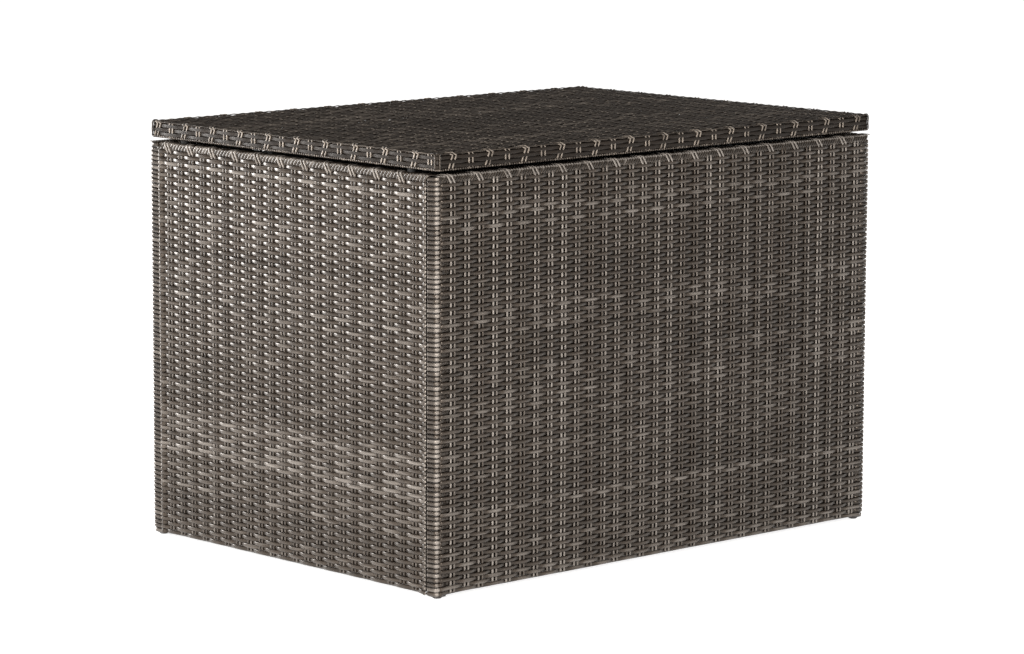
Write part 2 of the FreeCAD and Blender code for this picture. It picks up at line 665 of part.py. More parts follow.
body_screws = []
lid_screws = []
for side, way in (("left", -1), ("right", 1)):
    middle = f"({way}*hinge_x)"
    hinge_leaf(f"hinge_{side}_body_leaf", middle, -1, (0, 2, 4))
    hinge_leaf(f"hinge_{side}_lid_leaf", middle, 1, (1, 3))
    finish(rod(f"hinge_{side}_pin_rod", "pin_radius", "hinge_length", f"{middle} - hinge_length/2", AXIS_Y,
               AXIS_Z, ALONG_X), f"hinge_{side}_pin")
    for step in (-1, 1):
        screw_x = way * size("hinge_x") + step * size("hinge_length") / 3
        screw_y = size("box_depth") / 2 - size("lid_gap") / 2 - size("leaf_reach") * 2 / 3
        rim_z = size("foot_drop") + size("weave_height")
        body_screws.append(at(screw_x, screw_y, rim_z + size("leaf_thick")))
        lid_screws.append(at(screw_x, screw_y, rim_z + size("lid_gap") - size("leaf_thick"), (0, 0, -1)))
group("hinge_body_screws", screw, body_screws)
group("hinge_lid_screws", screw, lid_screws)


# ---- gas struts ---------------------------------------------------------------------------

axis_y = size("box_depth") / 2 - size("lid_gap") / 2
axis_z = size("foot_drop") + size("weave_height") + size("lid_gap") / 2
low_ball = (axis_y - size("strut_low_back"), axis_z - size("strut_low_drop"))
top_ball = (axis_y - size("strut_top_back"), axis_z - size("strut_top_drop"))
strut_run = (top_ball[0] - low_ball[0], top_ball[1] - low_ball[1])
strut_length = math.hypot(*strut_run)
SPREAD = "(strut_top_back - strut_low_back)"
RISE = "(strut_low_drop - strut_top_drop)"
STRUT = f"sqrt({SPREAD}*{SPREAD} + {RISE}*{RISE})"


def set_on_strut(thing, label, way):
    """Stand a piece made along Z on the lower ball, pointing at the upper ball."""
    direction = FreeCAD.Vector(0, strut_run[0], strut_run[1])
    turn = FreeCAD.Rotation(FreeCAD.Vector(0, 0, 1), direction)
    thing.Placement = FreeCAD.Placement(FreeCAD.Vector(way * size("strut_x"), *low_ball), turn)
    return finish(thing, label)


def ball_socket(label, way, centre, neck_low, neck_high):
    """A ball socket with its neck, open towards the bracket."""
    cup = rod(f"{label}_cup", "socket_radius", "2*socket_half", "-socket_half", "0", centre, ALONG_X)
    neck = rod(f"{label}_neck", "socket_neck", f"({neck_high}) - ({neck_low})", "0", "0", neck_low)
    seat = ball(f"{label}_seat", "ball_radius + ball_play", "0", "0", centre)
    mouth_x = "0" if way > 0 else "-2*socket_half"
    mouth = rod(f"{label}_mouth", "shank_hole", "2*socket_half", mouth_x, "0", centre, ALONG_X)
    solid = fuse(f"{label}_solid", [cup, neck])
    return cut(f"{label}_bored", solid, fuse(f"{label}_bores", [seat, mouth]))


def strut(side, way):
    """One gas strut: rod below, cylinder above, a socket at each end."""
    name = f"strut_{side}"
    shaft = rod(f"{name}_shaft", "rod_radius", f"{STRUT} - piston_end - rod_start", "0", "0", "rod_start")
    piston = rod(f"{name}_piston", "piston_radius", "piston_length", "0", "0",
                 f"{STRUT} - piston_end - piston_length")
    set_on_strut(fuse(f"{name}_moving", [shaft, piston]), f"{name}_rod", way)
    barrel = rod(f"{name}_barrel", "strut_tube_radius", f"{STRUT} - strut_tube_end - strut_tube_start",
                 "0", "0", "strut_tube_start")
    bore = rod(f"{name}_bore", "strut_bore",
               f"{STRUT} - strut_tube_end - strut_tube_start - 2*strut_seal", "0", "0",
               "strut_tube_start + strut_seal")
    throat = rod(f"{name}_throat", "rod_radius + rod_play", "strut_seal + 2*cut_over", "0", "0",
                 "strut_tube_start - cut_over")
    set_on_strut(cut(f"{name}_cylinder", barrel, fuse(f"{name}_hollow", [bore, throat])),
                 f"{name}_tube", way)
    set_on_strut(ball_socket(f"{name}_low", way, "0", "0", "strut_tube_start - neck_gap"),
                 f"{name}_lower_socket", way)
    set_on_strut(ball_socket(f"{name}_top", way, STRUT, f"{STRUT} - strut_tube_end", STRUT),
                 f"{name}_upper_socket", way)


def body_bracket(side, way):
    """Plate on the side frame's top rail that carries the lower ball stud."""
    name = f"strut_{side}_body_bracket"
    ball_y = f"({AXIS_Y} - strut_low_back)"
    ball_z = f"({AXIS_Z} - strut_low_drop)"
    face = block(f"{name}_plate", mirrored(f"{INNER_X} - plate_thick", INNER_X, way),
                 (f"{ball_y} - bracket_width/2", f"{ball_y} + bracket_width/2"),
                 (f"{ball_z} - bracket_low", f"{RIM} - weave - bracket_top"))
    head = ball(f"{name}_ball", "ball_radius", f"{way}*strut_x", ball_y, ball_z)
    start = "strut_x" if way > 0 else f"-({INNER_X})"
    stem = rod(f"{name}_stem", "shank_radius", f"{INNER_X} - strut_x", start, ball_y, ball_z, ALONG_X)
    holes = []
    for number, step in enumerate(("-", "+")):
        holes.append(rod(f"{name}_hole{number}", "screw_hole", "4*plate_thick",
                         f"{way}*{INNER_X} - 2*plate_thick", f"{ball_y} {step} bracket_width/4",
                         f"{UPPER_RAIL} + tube_side/2", ALONG_X))
    solid = fuse(f"{name}_solid", [face, head, stem])
    return finish(cut(f"{name}_drilled", solid, fuse(f"{name}_holes", holes)), name)


def lid_bracket(side, way):
    """Angle under the lid's end tube whose short stud faces the upper socket."""
    name = f"strut_{side}_lid_bracket"
    ball_y = f"({AXIS_Y} - strut_top_back)"
    ball_z = f"({AXIS_Z} - strut_top_drop)"
    span_y = (f"{ball_y} - lid_leg_width/2", f"{ball_y} + lid_leg_width/2")
    leg = block(f"{name}_leg", mirrored("lid_leg_x - plate_thick", "lid_leg_x", way), span_y,
                (f"{ball_z} - lid_leg_drop", LID_BASE))
    flange = block(f"{name}_flange", mirrored("lid_leg_x - plate_thick", "lid_leg_x + lid_flange", way),
                   span_y, (f"{LID_BASE} - plate_thick", LID_BASE))
    tip = "(strut_x + socket_half + open_play)"
    stub = f"(lid_leg_x - {tip})"
    start = tip if way > 0 else f"-({tip} + {stub})"
    stem = rod(f"{name}_stem", "shank_radius", stub, start, ball_y, ball_z, ALONG_X)
    holes = []
    for number, step in enumerate(("-", "+")):
        holes.append(rod(f"{name}_hole{number}", "screw_hole", "2*plate_thick",
                         f"{way}*(lid_leg_x + lid_flange/2)", f"{ball_y} {step} lid_leg_width/4",
                         f"{LID_BASE} - 1.5*plate_thick"))
    solid = fuse(f"{name}_solid", [leg, flange, stem])
    return finish(cut(f"{name}_drilled", solid, fuse(f"{name}_holes", holes)), name)


rail_screws = []
flange_screws = []
rail_z = size("foot_drop") + size("weave_height") - size("weave") - size("tube_side") / 2
flange_z = size("foot_drop") + size("weave_height") + size("lid_gap") - size("plate_thick")
for side, way in (("left", -1), ("right", 1)):
    strut(side, way)
    body_bracket(side, way)
    lid_bracket(side, way)
    for step in (-1, 1):
        rail_screws.append(at(way * (frame_face - size("plate_thick")),
                              low_ball[0] + step * size("bracket_width") / 4, rail_z, (-way, 0, 0)))
        flange_screws.append(at(way * (size("lid_leg_x") + size("lid_flange") / 2),
                                top_ball[0] + step * size("lid_leg_width") / 4, flange_z, (0, 0, -1)))
group("strut_body_screws", screw, rail_screws)
group("strut_lid_screws", screw, flange_screws)


# ---- check and write ----------------------------------------------------------------------

doc.recompute()
for item in doc.Objects:
    if "Invalid" in item.State or "Error" in item.State:
        raise RuntimeError(f"{item.Name} failed to build: {item.State}")
for node in nodes:
    if node.Shape.isNull() or not node.Shape.isValid() or not node.Shape.Solids:
        raise RuntimeError(f"{node.Label} has no valid solid")
for node in nodes:
    node.Shape.exportStep(f"parts/{node.Label}.step")
    box = node.Shape.BoundBox
    print(f"{node.Label:28s} {len(node.Shape.Solids):3d} solids  {node.Shape.Volume / 1000:10.1f} cm3"
          f"  x {box.XMin:7.1f} {box.XMax:7.1f}  y {box.YMin:7.1f} {box.YMax:7.1f}"
          f"  z {box.ZMin:6.1f} {box.ZMax:6.1f}")
print(f"{len(nodes)} nodes, strut length {strut_length:.2f} mm")
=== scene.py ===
import math
import bpy
import numpy as np
from mathutils import Matrix, Vector


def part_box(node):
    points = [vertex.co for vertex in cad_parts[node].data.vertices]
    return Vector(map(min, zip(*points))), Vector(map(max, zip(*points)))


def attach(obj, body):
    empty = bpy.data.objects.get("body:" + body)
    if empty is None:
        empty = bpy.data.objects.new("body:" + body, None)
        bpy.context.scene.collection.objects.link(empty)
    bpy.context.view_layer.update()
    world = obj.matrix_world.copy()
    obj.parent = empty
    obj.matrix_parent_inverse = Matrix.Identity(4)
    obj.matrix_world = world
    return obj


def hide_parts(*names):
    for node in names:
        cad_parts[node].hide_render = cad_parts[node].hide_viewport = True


# Looks of a woven garden storage box: every strand of its panels, rims and lid is a ribbon of
# its own, laid over and under pairs of upright stakes. Metres, in the CAD part's frame.

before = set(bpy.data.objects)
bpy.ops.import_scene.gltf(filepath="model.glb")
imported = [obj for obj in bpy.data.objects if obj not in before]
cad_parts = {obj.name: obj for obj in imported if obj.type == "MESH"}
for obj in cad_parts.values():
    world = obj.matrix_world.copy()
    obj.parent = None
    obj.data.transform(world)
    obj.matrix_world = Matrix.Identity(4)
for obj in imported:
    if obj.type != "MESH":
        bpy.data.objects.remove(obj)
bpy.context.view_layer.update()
rng = np.random.default_rng(12)
MM = 0.001
X, Y, Z = np.eye(3)


# ---- sizes --------------------------------------------------------------------------------

ROW = 7.8 * MM              # one weft to the next
WEFT = (8.3 * MM, 0.7 * MM, 0.5 * MM)        # width, crown in front, belly behind
SLIM_WEFT = (7.3 * MM, 0.7 * MM, 0.5 * MM)   # on the front and back
STAKE = (5.0 * MM, 1.5 * MM, 0.8 * MM)
FLAT_STAKE = (5.6 * MM, 0.9 * MM, 0.8 * MM)   # on the side walls
PAIR_HALF = 4.6 * MM        # pair's middle to each of its stakes
WEFT_SWING = 2.2 * MM       # in and out of the panel's middle
STAKE_SWING = 0.35 * MM
SKIN_MIDDLE = 0.7 * MM      # outer face of the CAD skin to the middle of the weave
DROOP = 4 * MM              # lowest rows down to the corner posts
END_TURN = 7 * MM           # where a side wall's wefts go round its end stake
STEPS = 10                  # weft points from one pair to the next
TIGHT = 1.35                # how squarely a weft turns over a pair
WRAP_PITCH = 9.1 * MM
WRAP = (7.9 * MM, 1.1 * MM, 0.4 * MM)
RIM_PITCH = 6.8 * MM
SIDE_RIM_PITCH = 9.2 * MM
HOOK = (4.2 * MM, 1.0 * MM, 0.4 * MM)        # a stake that loops over the rim
LID_STAKE = (3.7 * MM, 1.3 * MM, 0.5 * MM)
LID_EDGE_ROW = (8.8 * MM, 0.3 * MM, 0.4 * MM)
LID_TOP_STRAND = (3.2 * MM, 0.8 * MM, 0.3 * MM)
LID_WRAP_PITCH = 6.2 * MM
LID_WRAP = (4.9 * MM, 0.9 * MM, 0.2 * MM)
LID_PAIR_X = 46.3 * MM
LID_PAIR_Y = 42.9 * MM
LID_WEFT = (9.8 * MM, 0.9 * MM, 0.5 * MM)     # close enough that no light comes through
LID_SWING = 1.35 * MM
FLOOR_ROW = 10 * MM
FLOOR_PAIRS = 24
HEM = (22 * MM, 0.6 * MM, 0.6 * MM)
STITCH_PITCH = 6 * MM
STITCH_STRAND = (0.8 * MM, 0.3 * MM, 0.3 * MM)
EYELET_RADIUS = 10 * MM
EYELET_RING = (5 * MM, 0.9 * MM, 0.6 * MM)
BAG_FLOOR_RINGS = 22

PROFILE_SIDE = np.array([-0.5, -0.27, 0.27, 0.5, 0.0])
PROFILE_RISE = np.array([0.0, 1.0, 1.0, 0.0, 0.0])
PROFILE_SINK = np.array([0.0, 0.0, 0.0, 0.0, 1.0])
RING = len(PROFILE_SIDE)


# ---- materials ----------------------------------------------------------------------------

def new_material(name):
    """A node material with its tree, its shader and its output."""
    made = bpy.data.materials.new(name)
    made.use_nodes = True
    tree = made.node_tree
    return made, tree, tree.nodes["Principled BSDF"]


def node(tree, kind, **values):
    """A node with some of its properties or inputs set."""
    made = tree.nodes.new(kind)
    for key, value in values.items():
        if hasattr(made, key):
            setattr(made, key, value)
        else:
            made.inputs[key.replace("_", " ")].default_value = value
    return made


def ramp(tree, source, stops):
    """A colour ramp fed by a socket. Stops are (place, (r, g, b))."""
    made = tree.nodes.new("ShaderNodeValToRGB")
    elements = made.color_ramp.elements
    while len(elements) < len(stops):
        elements.new(0.5)
    for element, (place, colour) in zip(elements, stops):
        element.position = place
        element.color = (*colour, 1)
    tree.links.new(source, made.inputs["Fac"])
    return made.outputs["Color"]


def scaled(tree, vector, scale):
    """A vector socket times a scale on each axis."""
    made = node(tree, "ShaderNodeMapping")
    made.inputs["Scale"].default_value = scale
    tree.links.new(vector, made.inputs["Vector"])
    return made.outputs["Vector"]


def noise(tree, vector, scale, detail=2.0, rough=0.5):
    """A noise socket at a scale per metre."""
    made = node(tree, "ShaderNodeTexNoise", Scale=scale, Detail=detail, Roughness=rough)
    tree.links.new(vector, made.inputs["Vector"])
    return made.outputs["Fac"]


def remap(tree, source, low, high):
    """A 0 to 1 socket spread over a new range."""
    made = node(tree, "ShaderNodeMapRange")
    made.inputs["To Min"].default_value = low
    made.inputs["To Max"].default_value = high
    tree.links.new(source, made.inputs["Value"])
    return made.outputs["Result"]


def math_node(tree, operation, first, second):
    """A math node on two sockets or numbers."""
    made = node(tree, "ShaderNodeMath", operation=operation)
    for index, value in enumerate((first, second)):
        if isinstance(value, (int, float)):
            made.inputs[index].default_value = value
        else:
            tree.links.new(value, made.inputs[index])
    return made.outputs[0]


def bump(tree, shader, height, strength, distance):
    """Bump on a shader from a height socket."""
    made = node(tree, "ShaderNodeBump", Strength=strength, Distance=distance)
    tree.links.new(height, made.inputs["Height"])
    tree.links.new(made.outputs["Normal"], shader.inputs["Normal"])


def wicker(name, dark, middle, light, rough_low, rough_high, gloss=0.5):
    """Satin flat strand: a tone for each strand, which also carries the painted shade and highlights
    laid into the strands, slow streaks along it and fine drawn grooves.
    """
    made, tree, shader = new_material(name)
    tone = node(tree, "ShaderNodeAttribute", attribute_name="tone")
    run = node(tree, "ShaderNodeAttribute", attribute_name="run")
    place = node(tree, "ShaderNodeTexCoord").outputs["Object"]
    streak = noise(tree, scaled(tree, run.outputs["Vector"], (9, 2, 1)), 1.0, 2.0)
    patch = noise(tree, scaled(tree, place, (5, 14, 40)), 1.0, 2.0)
    mixed = math_node(tree, "ADD", tone.outputs["Fac"], remap(tree, streak, -0.34, 0.34))
    mixed = math_node(tree, "ADD", mixed, remap(tree, patch, -0.28, 0.28))
    colour = ramp(tree, mixed, [(0.0, dark), (0.45, middle), (1.0, light)])
    tree.links.new(colour, shader.inputs["Base Color"])
    groove = noise(tree, scaled(tree, run.outputs["Vector"], (90, 22, 1)), 1.0, 3.0, 0.6)
    tree.links.new(remap(tree, groove, rough_low, rough_high), shader.inputs["Roughness"])
    shader.inputs["IOR"].default_value = 1.5
    shader.inputs["Specular IOR Level"].default_value = gloss
    shader.inputs["Specular Tint"].default_value = (1.0, 0.87, 0.75, 1)
    bump(tree, shader, groove, 0.12, 0.0002)
    return made


def coated(name, dark, light, rough_low, rough_high, grain, metallic=0.0, depth=0.00006, coat=0.0):
    """Paint, plastic or metal: two close colours, a grain that shows in the gloss and a light bump."""
    made, tree, shader = new_material(name)
    place = node(tree, "ShaderNodeTexCoord").outputs["Object"]
    slow = noise(tree, place, grain / 30, 3.0)
    fine = noise(tree, place, grain, 2.0)
    tree.links.new(ramp(tree, slow, [(0.3, dark), (0.7, light)]), shader.inputs["Base Color"])
    tree.links.new(remap(tree, fine, rough_low, rough_high), shader.inputs["Roughness"])
    shader.inputs["Metallic"].default_value = metallic
    shader.inputs["Coat Weight"].default_value = coat
    bump(tree, shader, fine, 0.5, depth)
    return made


def spangled(name, dark, light):
    """Zinc-plated steel: flakes of close greys with brighter faces."""
    made, tree, shader = new_material(name)
    place = node(tree, "ShaderNodeTexCoord").outputs["Object"]
    flakes = node(tree, "ShaderNodeTexVoronoi", Scale=420.0)
    tree.links.new(place, flakes.inputs["Vector"])
    grey = ramp(tree, flakes.outputs["Color"], [(0.2, dark), (0.8, light)])
    tree.links.new(grey, shader.inputs["Base Color"])
    wear_and_painted_light = noise(tree, place, 160.0, 4.0)
    tree.links.new(remap(tree, wear_and_painted_light, 0.28, 0.52), shader.inputs["Roughness"])
    shader.inputs["Metallic"].default_value = 1.0
    bump(tree, shader, wear_and_painted_light, 0.3, 0.00005)
    return made


def cloth(name, dark, light):
    """Coated polyester: a fine plain weave in the bump, with soft creases in the tone."""
    made, tree, shader = new_material(name)
    place = node(tree, "ShaderNodeTexCoord").outputs["Object"]
    threads = []
    for direction in ("X", "Y", "Z"):
        wave = node(tree, "ShaderNodeTexWave", wave_type="BANDS", bands_direction=direction, Scale=330.0,
                    Distortion=0.4, Detail=1.0)
        tree.links.new(place, wave.inputs["Vector"])
        threads.append(wave.outputs["Fac"])
    weave = math_node(tree, "ADD", math_node(tree, "ADD", threads[0], threads[1]), threads[2])
    worn_and_painted_light = noise(tree, place, 9.0, 5.0, 0.6)
    tree.links.new(ramp(tree, worn_and_painted_light, [(0.35, dark), (0.7, light)]), shader.inputs["Base Color"])
    tree.links.new(remap(tree, worn_and_painted_light, 0.55, 0.75), shader.inputs["Roughness"])
    shader.inputs["Sheen Weight"].default_value = 0.25
    shader.inputs["Sheen Roughness"].default_value = 0.4
    bump(tree, shader, weave, 0.35, 0.00012)
    return made


UMBER = (0.0050, 0.0034, 0.0024)
TAUPE = (0.026, 0.0198, 0.0152)
DRIFTWOOD = (0.178, 0.161, 0.145)
WICKER = wicker("wicker_panel", UMBER, TAUPE, DRIFTWOOD, 0.22, 0.34)
# Painted shade: the rim's wicker is a slightly darker copy of the panels' wicker.
RIM_WICKER = wicker("wicker_rim", UMBER, (0.022, 0.0168, 0.0128), DRIFTWOOD, 0.24, 0.36)
# Painted shade: the lid's wicker is a darker copy of the panels' wicker, and the lid edge's copy darker
# still.
LID_WICKER = wicker("wicker_lid", UMBER, (0.012, 0.0083, 0.0059), (0.165, 0.141, 0.118), 0.34, 0.48)
LID_EDGE_WICKER = wicker("wicker_lid_edge", (0.003, 0.0018, 0.0012), (0.010, 0.0066, 0.0046),
                         (0.165, 0.141, 0.118), 0.36, 0.50, gloss=0.28)
STITCH = coated("liner_thread", (0.09, 0.088, 0.085), (0.13, 0.127, 0.122), 0.6, 0.8, 900)
LINER_CLOTH = cloth("liner_cloth", (0.020, 0.020, 0.020), (0.042, 0.041, 0.040))
CARRIED = {
    "frame_steel": coated("frame_powder_coat", (0.018, 0.015, 0.013), (0.030, 0.025, 0.022), 0.42, 0.60,
                          1500),
    "foot_plastic": coated("foot_moulded", (0.012, 0.0115, 0.011), (0.022, 0.021, 0.020), 0.40, 0.62, 1100),
    "stud_plastic": coated("stud_moulded", (0.012, 0.012, 0.012), (0.024, 0.023, 0.023), 0.30, 0.48, 1400),
    "bumper_rubber": coated("bumper_rubber_matt", (0.004, 0.004, 0.004), (0.008, 0.008, 0.0078), 0.75, 0.90,
                            700),
    "strut_black": coated("strut_enamel", (0.008, 0.008, 0.009), (0.012, 0.012, 0.013), 0.12, 0.24, 600,
                          depth=0.00002, coat=0.6),
    "strut_chrome": coated("strut_rod_chrome", (0.58, 0.58, 0.60), (0.66, 0.66, 0.68), 0.06, 0.14, 900,
                           metallic=1.0, depth=0.00001),
    "socket_plastic": coated("socket_moulded", (0.016, 0.016, 0.016), (0.030, 0.030, 0.029), 0.36, 0.52,
                             1300),
    "bracket_steel": coated("bracket_black_steel", (0.020, 0.020, 0.021), (0.036, 0.036, 0.037), 0.34, 0.50,
                            900, metallic=0.4),
    "hinge_steel": spangled("hinge_zinc", (0.42, 0.42, 0.43), (0.60, 0.60, 0.61)),
    "fastener_steel": spangled("fastener_zinc", (0.36, 0.36, 0.36), (0.52, 0.52, 0.52)),
}


# ---- strands ------------------------------------------------------------------------------

class Strands:
    """Closed ribbons with a crowned face, gathered into one mesh."""

    def __init__(self):
        self.points, self.quads, self.ends, self.tones, self.runs = [], [], [], [], []
        self.total = 0

    def add(self, centre, out, section, tone=None, closed=False, taper=None):
        """One ribbon along centre points, with its crown towards out."""
        wide, crown, belly = section
        count = len(centre)
        out = np.broadcast_to(out, (count, 3))
        if closed:
            ahead = np.roll(centre, -1, 0) - np.roll(centre, 1, 0)
        else:
            ahead = np.gradient(centre, axis=0)
        across = np.cross(out, ahead)
        across /= np.linalg.norm(across, axis=1)[:, None]
        width = np.full(count, wide) if taper is None else wide * np.asarray(taper)
        rise = PROFILE_RISE * crown - PROFILE_SINK * belly
        ring = (centre[:, None] + (PROFILE_SIDE[None, :] * width[:, None])[:, :, None] * across[:, None]
                + rise[None, :, None] * out[:, None])
        step = np.linalg.norm(np.diff(centre, axis=0), axis=1)
        run = np.concatenate([[0.0], np.cumsum(step)]) + rng.uniform(0, 50)
        side = PROFILE_SIDE + rng.uniform(0, 50)
        runs = np.zeros((count, RING, 3))
        runs[:, :, 0] = run[:, None]
        runs[:, :, 1] = side[None, :]
        first = self.total + np.arange(count if closed else count - 1) * RING
        second = self.total + ((np.arange(len(first)) + 1) % count) * RING
        for corner in range(RING):
            after = (corner + 1) % RING
            self.quads.append(np.stack([first + corner, second + corner, second + after, first + after], 1))
        if not closed:
            self.ends.append([self.total + corner for corner in range(RING)])
            self.ends.append([self.total + (count - 1) * RING + corner for corner in reversed(range(RING))])
        self.points.append(ring.reshape(-1, 3))
        self.runs.append(runs.reshape(-1, 3))
        shade = np.broadcast_to(strand_tone() if tone is None else tone, count)
        self.tones.append(np.repeat(shade, RING))
        self.total += count * RING

    def piece(self, name, body, material, slot, *replaced):
        """The mesh object, riding on its body."""
        points = np.concatenate(self.points)
        quads = np.concatenate(self.quads)
        ends = np.array(self.ends, int).reshape(-1, RING)
        mesh = bpy.data.meshes.new(name)
        mesh.vertices.add(len(points))
        mesh.vertices.foreach_set("co", points.ravel())
        loops = np.concatenate([quads.ravel(), ends.ravel()])
        totals = np.concatenate([np.full(len(quads), 4), np.full(len(ends), RING)])
        starts = np.concatenate([[0], np.cumsum(totals)[:-1]])
        mesh.loops.add(len(loops))
        mesh.loops.foreach_set("vertex_index", loops.astype(np.int32))
        mesh.polygons.add(len(totals))
        mesh.polygons.foreach_set("loop_start", starts.astype(np.int32))
        mesh.update(calc_edges=True)
        mesh.polygons.foreach_set("use_smooth", np.ones(len(totals), bool))
        tone = mesh.attributes.new("tone", "FLOAT", "POINT")
        tone.data.foreach_set("value", np.concatenate(self.tones).astype(np.float32))
        run = mesh.attributes.new("run", "FLOAT_VECTOR", "POINT")
        run.data.foreach_set("vector", np.concatenate(self.runs).ravel().astype(np.float32))
        mesh.materials.append(material)
        made = bpy.data.objects.new(name, mesh)
        bpy.context.scene.collection.objects.link(made)
        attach(made, body)
        if replaced:
            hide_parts(*replaced)
        return made


def box_mesh(name, verts, faces, material, replaced):
    """A smooth mesh that rides on the box and stands for a CAD node."""
    mesh = bpy.data.meshes.new(name)
    mesh.from_pydata(verts, [], faces)
    mesh.update()
    mesh.polygons.foreach_set("use_smooth", np.ones(len(mesh.polygons), bool))
    mesh.materials.append(material)
    made = bpy.data.objects.new(name, mesh)
    bpy.context.scene.collection.objects.link(made)
    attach(made, "box")
    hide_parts(replaced)
    return made


def strand_tone():
    """Most strands are close to the middle tone, a few are clearly lighter or darker."""
    return float(np.clip(rng.normal(0.38, 0.12), 0.08, 0.9))


def swing_at(theta):
    """In-and-out of a weft: level over a pair, steep between two pairs."""
    return np.tanh(TIGHT * np.cos(theta)) / math.tanh(TIGHT)


def wander(along, size):
    """Slow unevenness along a strand."""
    waves = rng.uniform(0, 2 * math.pi, 3)
    return size * (np.sin(along * 9 + waves[0]) + 0.6 * np.sin(along * 31 + waves[1])
                   + 0.4 * np.sin(along * 83 + waves[2])) / 2


class Panel:
    """A flat woven field: along is the weft's way, up the stakes' way, out its face."""

    def __init__(self, corner, along, up, out):
        self.corner, self.along, self.up, self.out = (np.asarray(v, float) for v in (corner, along, up, out))

    def at(self, along, up, out):
        """Panel places as points."""
        parts = np.broadcast_arrays(along, up, out)
        return self.corner + sum(np.outer(part, axis) for part, axis in
                                 zip((np.ravel(p) for p in parts), (self.along, self.up, self.out)))


def flat(along, up):
    """No bulge."""
    return 0.0 * along


def weave_wefts(strands, panel, rows, pairs, start, end, turn_in, middle, level, look, bulge=flat,
                section=WEFT):
    """Wefts of a plain weave, turned in at the panel's ends. The look is their unevenness, their
    swing, how much they narrow (or widen, if negative) as they go in, a painted shade that darkens all
    of them, a painted shade and highlight that darkens them where they go in behind a pair and lightens
    them where they cross in front, a painted highlight on their ends where they turn round the end, and
    how far the lowest rows droop to the corner posts."""
    wobble, swing, pinch, painted_shade_tone, dark, worn_and_painted_light, droop = look
    inner = np.arange(len(pairs)) * math.pi
    theta = np.arange(-math.pi / 2, inner[-1] + math.pi / 2 + 0.01, math.pi / STEPS)
    knots = np.concatenate([[-math.pi / 2], inner, [inner[-1] + math.pi / 2]])
    along = np.interp(theta, knots, np.concatenate([[start], pairs, [end]]))
    for number in rows:
        phase = 1 if number % 2 else -1
        out = middle + swing * phase * swing_at(theta)
        to_end = np.minimum(along - start, end - along)
        if worn_and_painted_light:
            out = np.where(to_end < END_TURN, middle + swing, out)
        up = level(number) + wander(along, wobble) - droop * np.exp(-number / 1.5 - to_end / (16 * MM))
        centre = panel.at(along, up, out + bulge(along, up))
        tucked = 2.5 * MM - turn_in
        first = panel.at([start + tucked, start - turn_in], up[0], [middle - 3.2 * MM, middle - 0.9 * MM])
        last = panel.at([end + turn_in, end - tucked], up[-1], [middle - 0.9 * MM, middle - 3.2 * MM])
        forward = np.pad(phase * swing_at(theta), 2, mode="edge")
        # Painted shade and highlight: the tone offset darkens the whole weft, and dark times forward paints
        # it darker where it goes in behind a pair and lighter where it crosses in front.
        tone = strand_tone() + painted_shade_tone + dark * forward
        taper = 1 - pinch + pinch * forward
        # Painted highlight: the turned ends are painted lighter where they bend round the end stake.
        if worn_and_painted_light:
            tone[[1, 2, 3, -4, -3, -2]] += worn_and_painted_light
            taper[[0, 1, 2, 3, -4, -3, -2, -1]] = 0.72
        strands.add(np.concatenate([first, centre, last]), panel.out, section, tone=tone, taper=taper)


def weave_stakes(strands, panel, low_row, high_row, stakes, middle, level, low_end, high_end, bulge=flat,
                 look=(STAKE, 0.4)):
    """Upright stakes: each is (place, pair number), pushed back where a weft crosses in front. The
    look is their section and how much lighter than the wefts they are painted: a painted highlight
    for the bright dashes that light catches on the stakes."""
    section, lighter = look
    rows = np.arange(low_row, high_row + 0.01, 0.5)
    up = level(rows)
    for place, number in stakes:
        phase = np.cos(math.pi * (rows + number))
        out = middle + STAKE_SWING * phase
        ends_up = np.concatenate([[low_end], up, [high_end]])
        ends_out = np.concatenate([[middle], out, [middle]])
        ends_out = ends_out + bulge(place + 0 * ends_up, ends_up)
        # Painted highlight: each stake is painted lighter than the wefts by a random share of its
        # lightening.
        strands.add(panel.at(place + wander(ends_up, 0.25 * MM), ends_up, ends_out), panel.out, section,
                    tone=strand_tone() + lighter * rng.uniform(0.3, 1.5))


def doubled(pairs):
    """Both stakes of each pair."""
    return [(place + way * PAIR_HALF, number) for number, place in enumerate(pairs) for way in (-1, 1)]


# ---- woven panels -------------------------------------------------------------------------

def span_of(name):
    """Low and high corners of a CAD node as arrays."""
    low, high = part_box(name)
    return np.array(low), np.array(high)


rim_low, rim_high = span_of("front_rim_binding")
half_x = rim_high[0]
half_y = -rim_low[1]
rim_top = rim_high[2]
rim_base = rim_low[2]
weave_base = span_of("front_weave")[0][2]
side_half = span_of("left_weave")[1][1]
ROWS = int(round((rim_base - weave_base) / ROW))
row_step = (rim_base - weave_base) / ROWS
POST_EDGE = 9 * MM          # corner to where the front's wefts leave the wound post
FIRST_PAIR = 40.5 * MM
LONG_PAIRS = 32
SIDE_FIRST = 33.5 * MM      # side panel's end to its first whole pair
SIDE_PAIRS = 22


def row_height(number):
    """Height of the middle of a row."""
    return weave_base + (np.asarray(number) + 0.5) * row_step


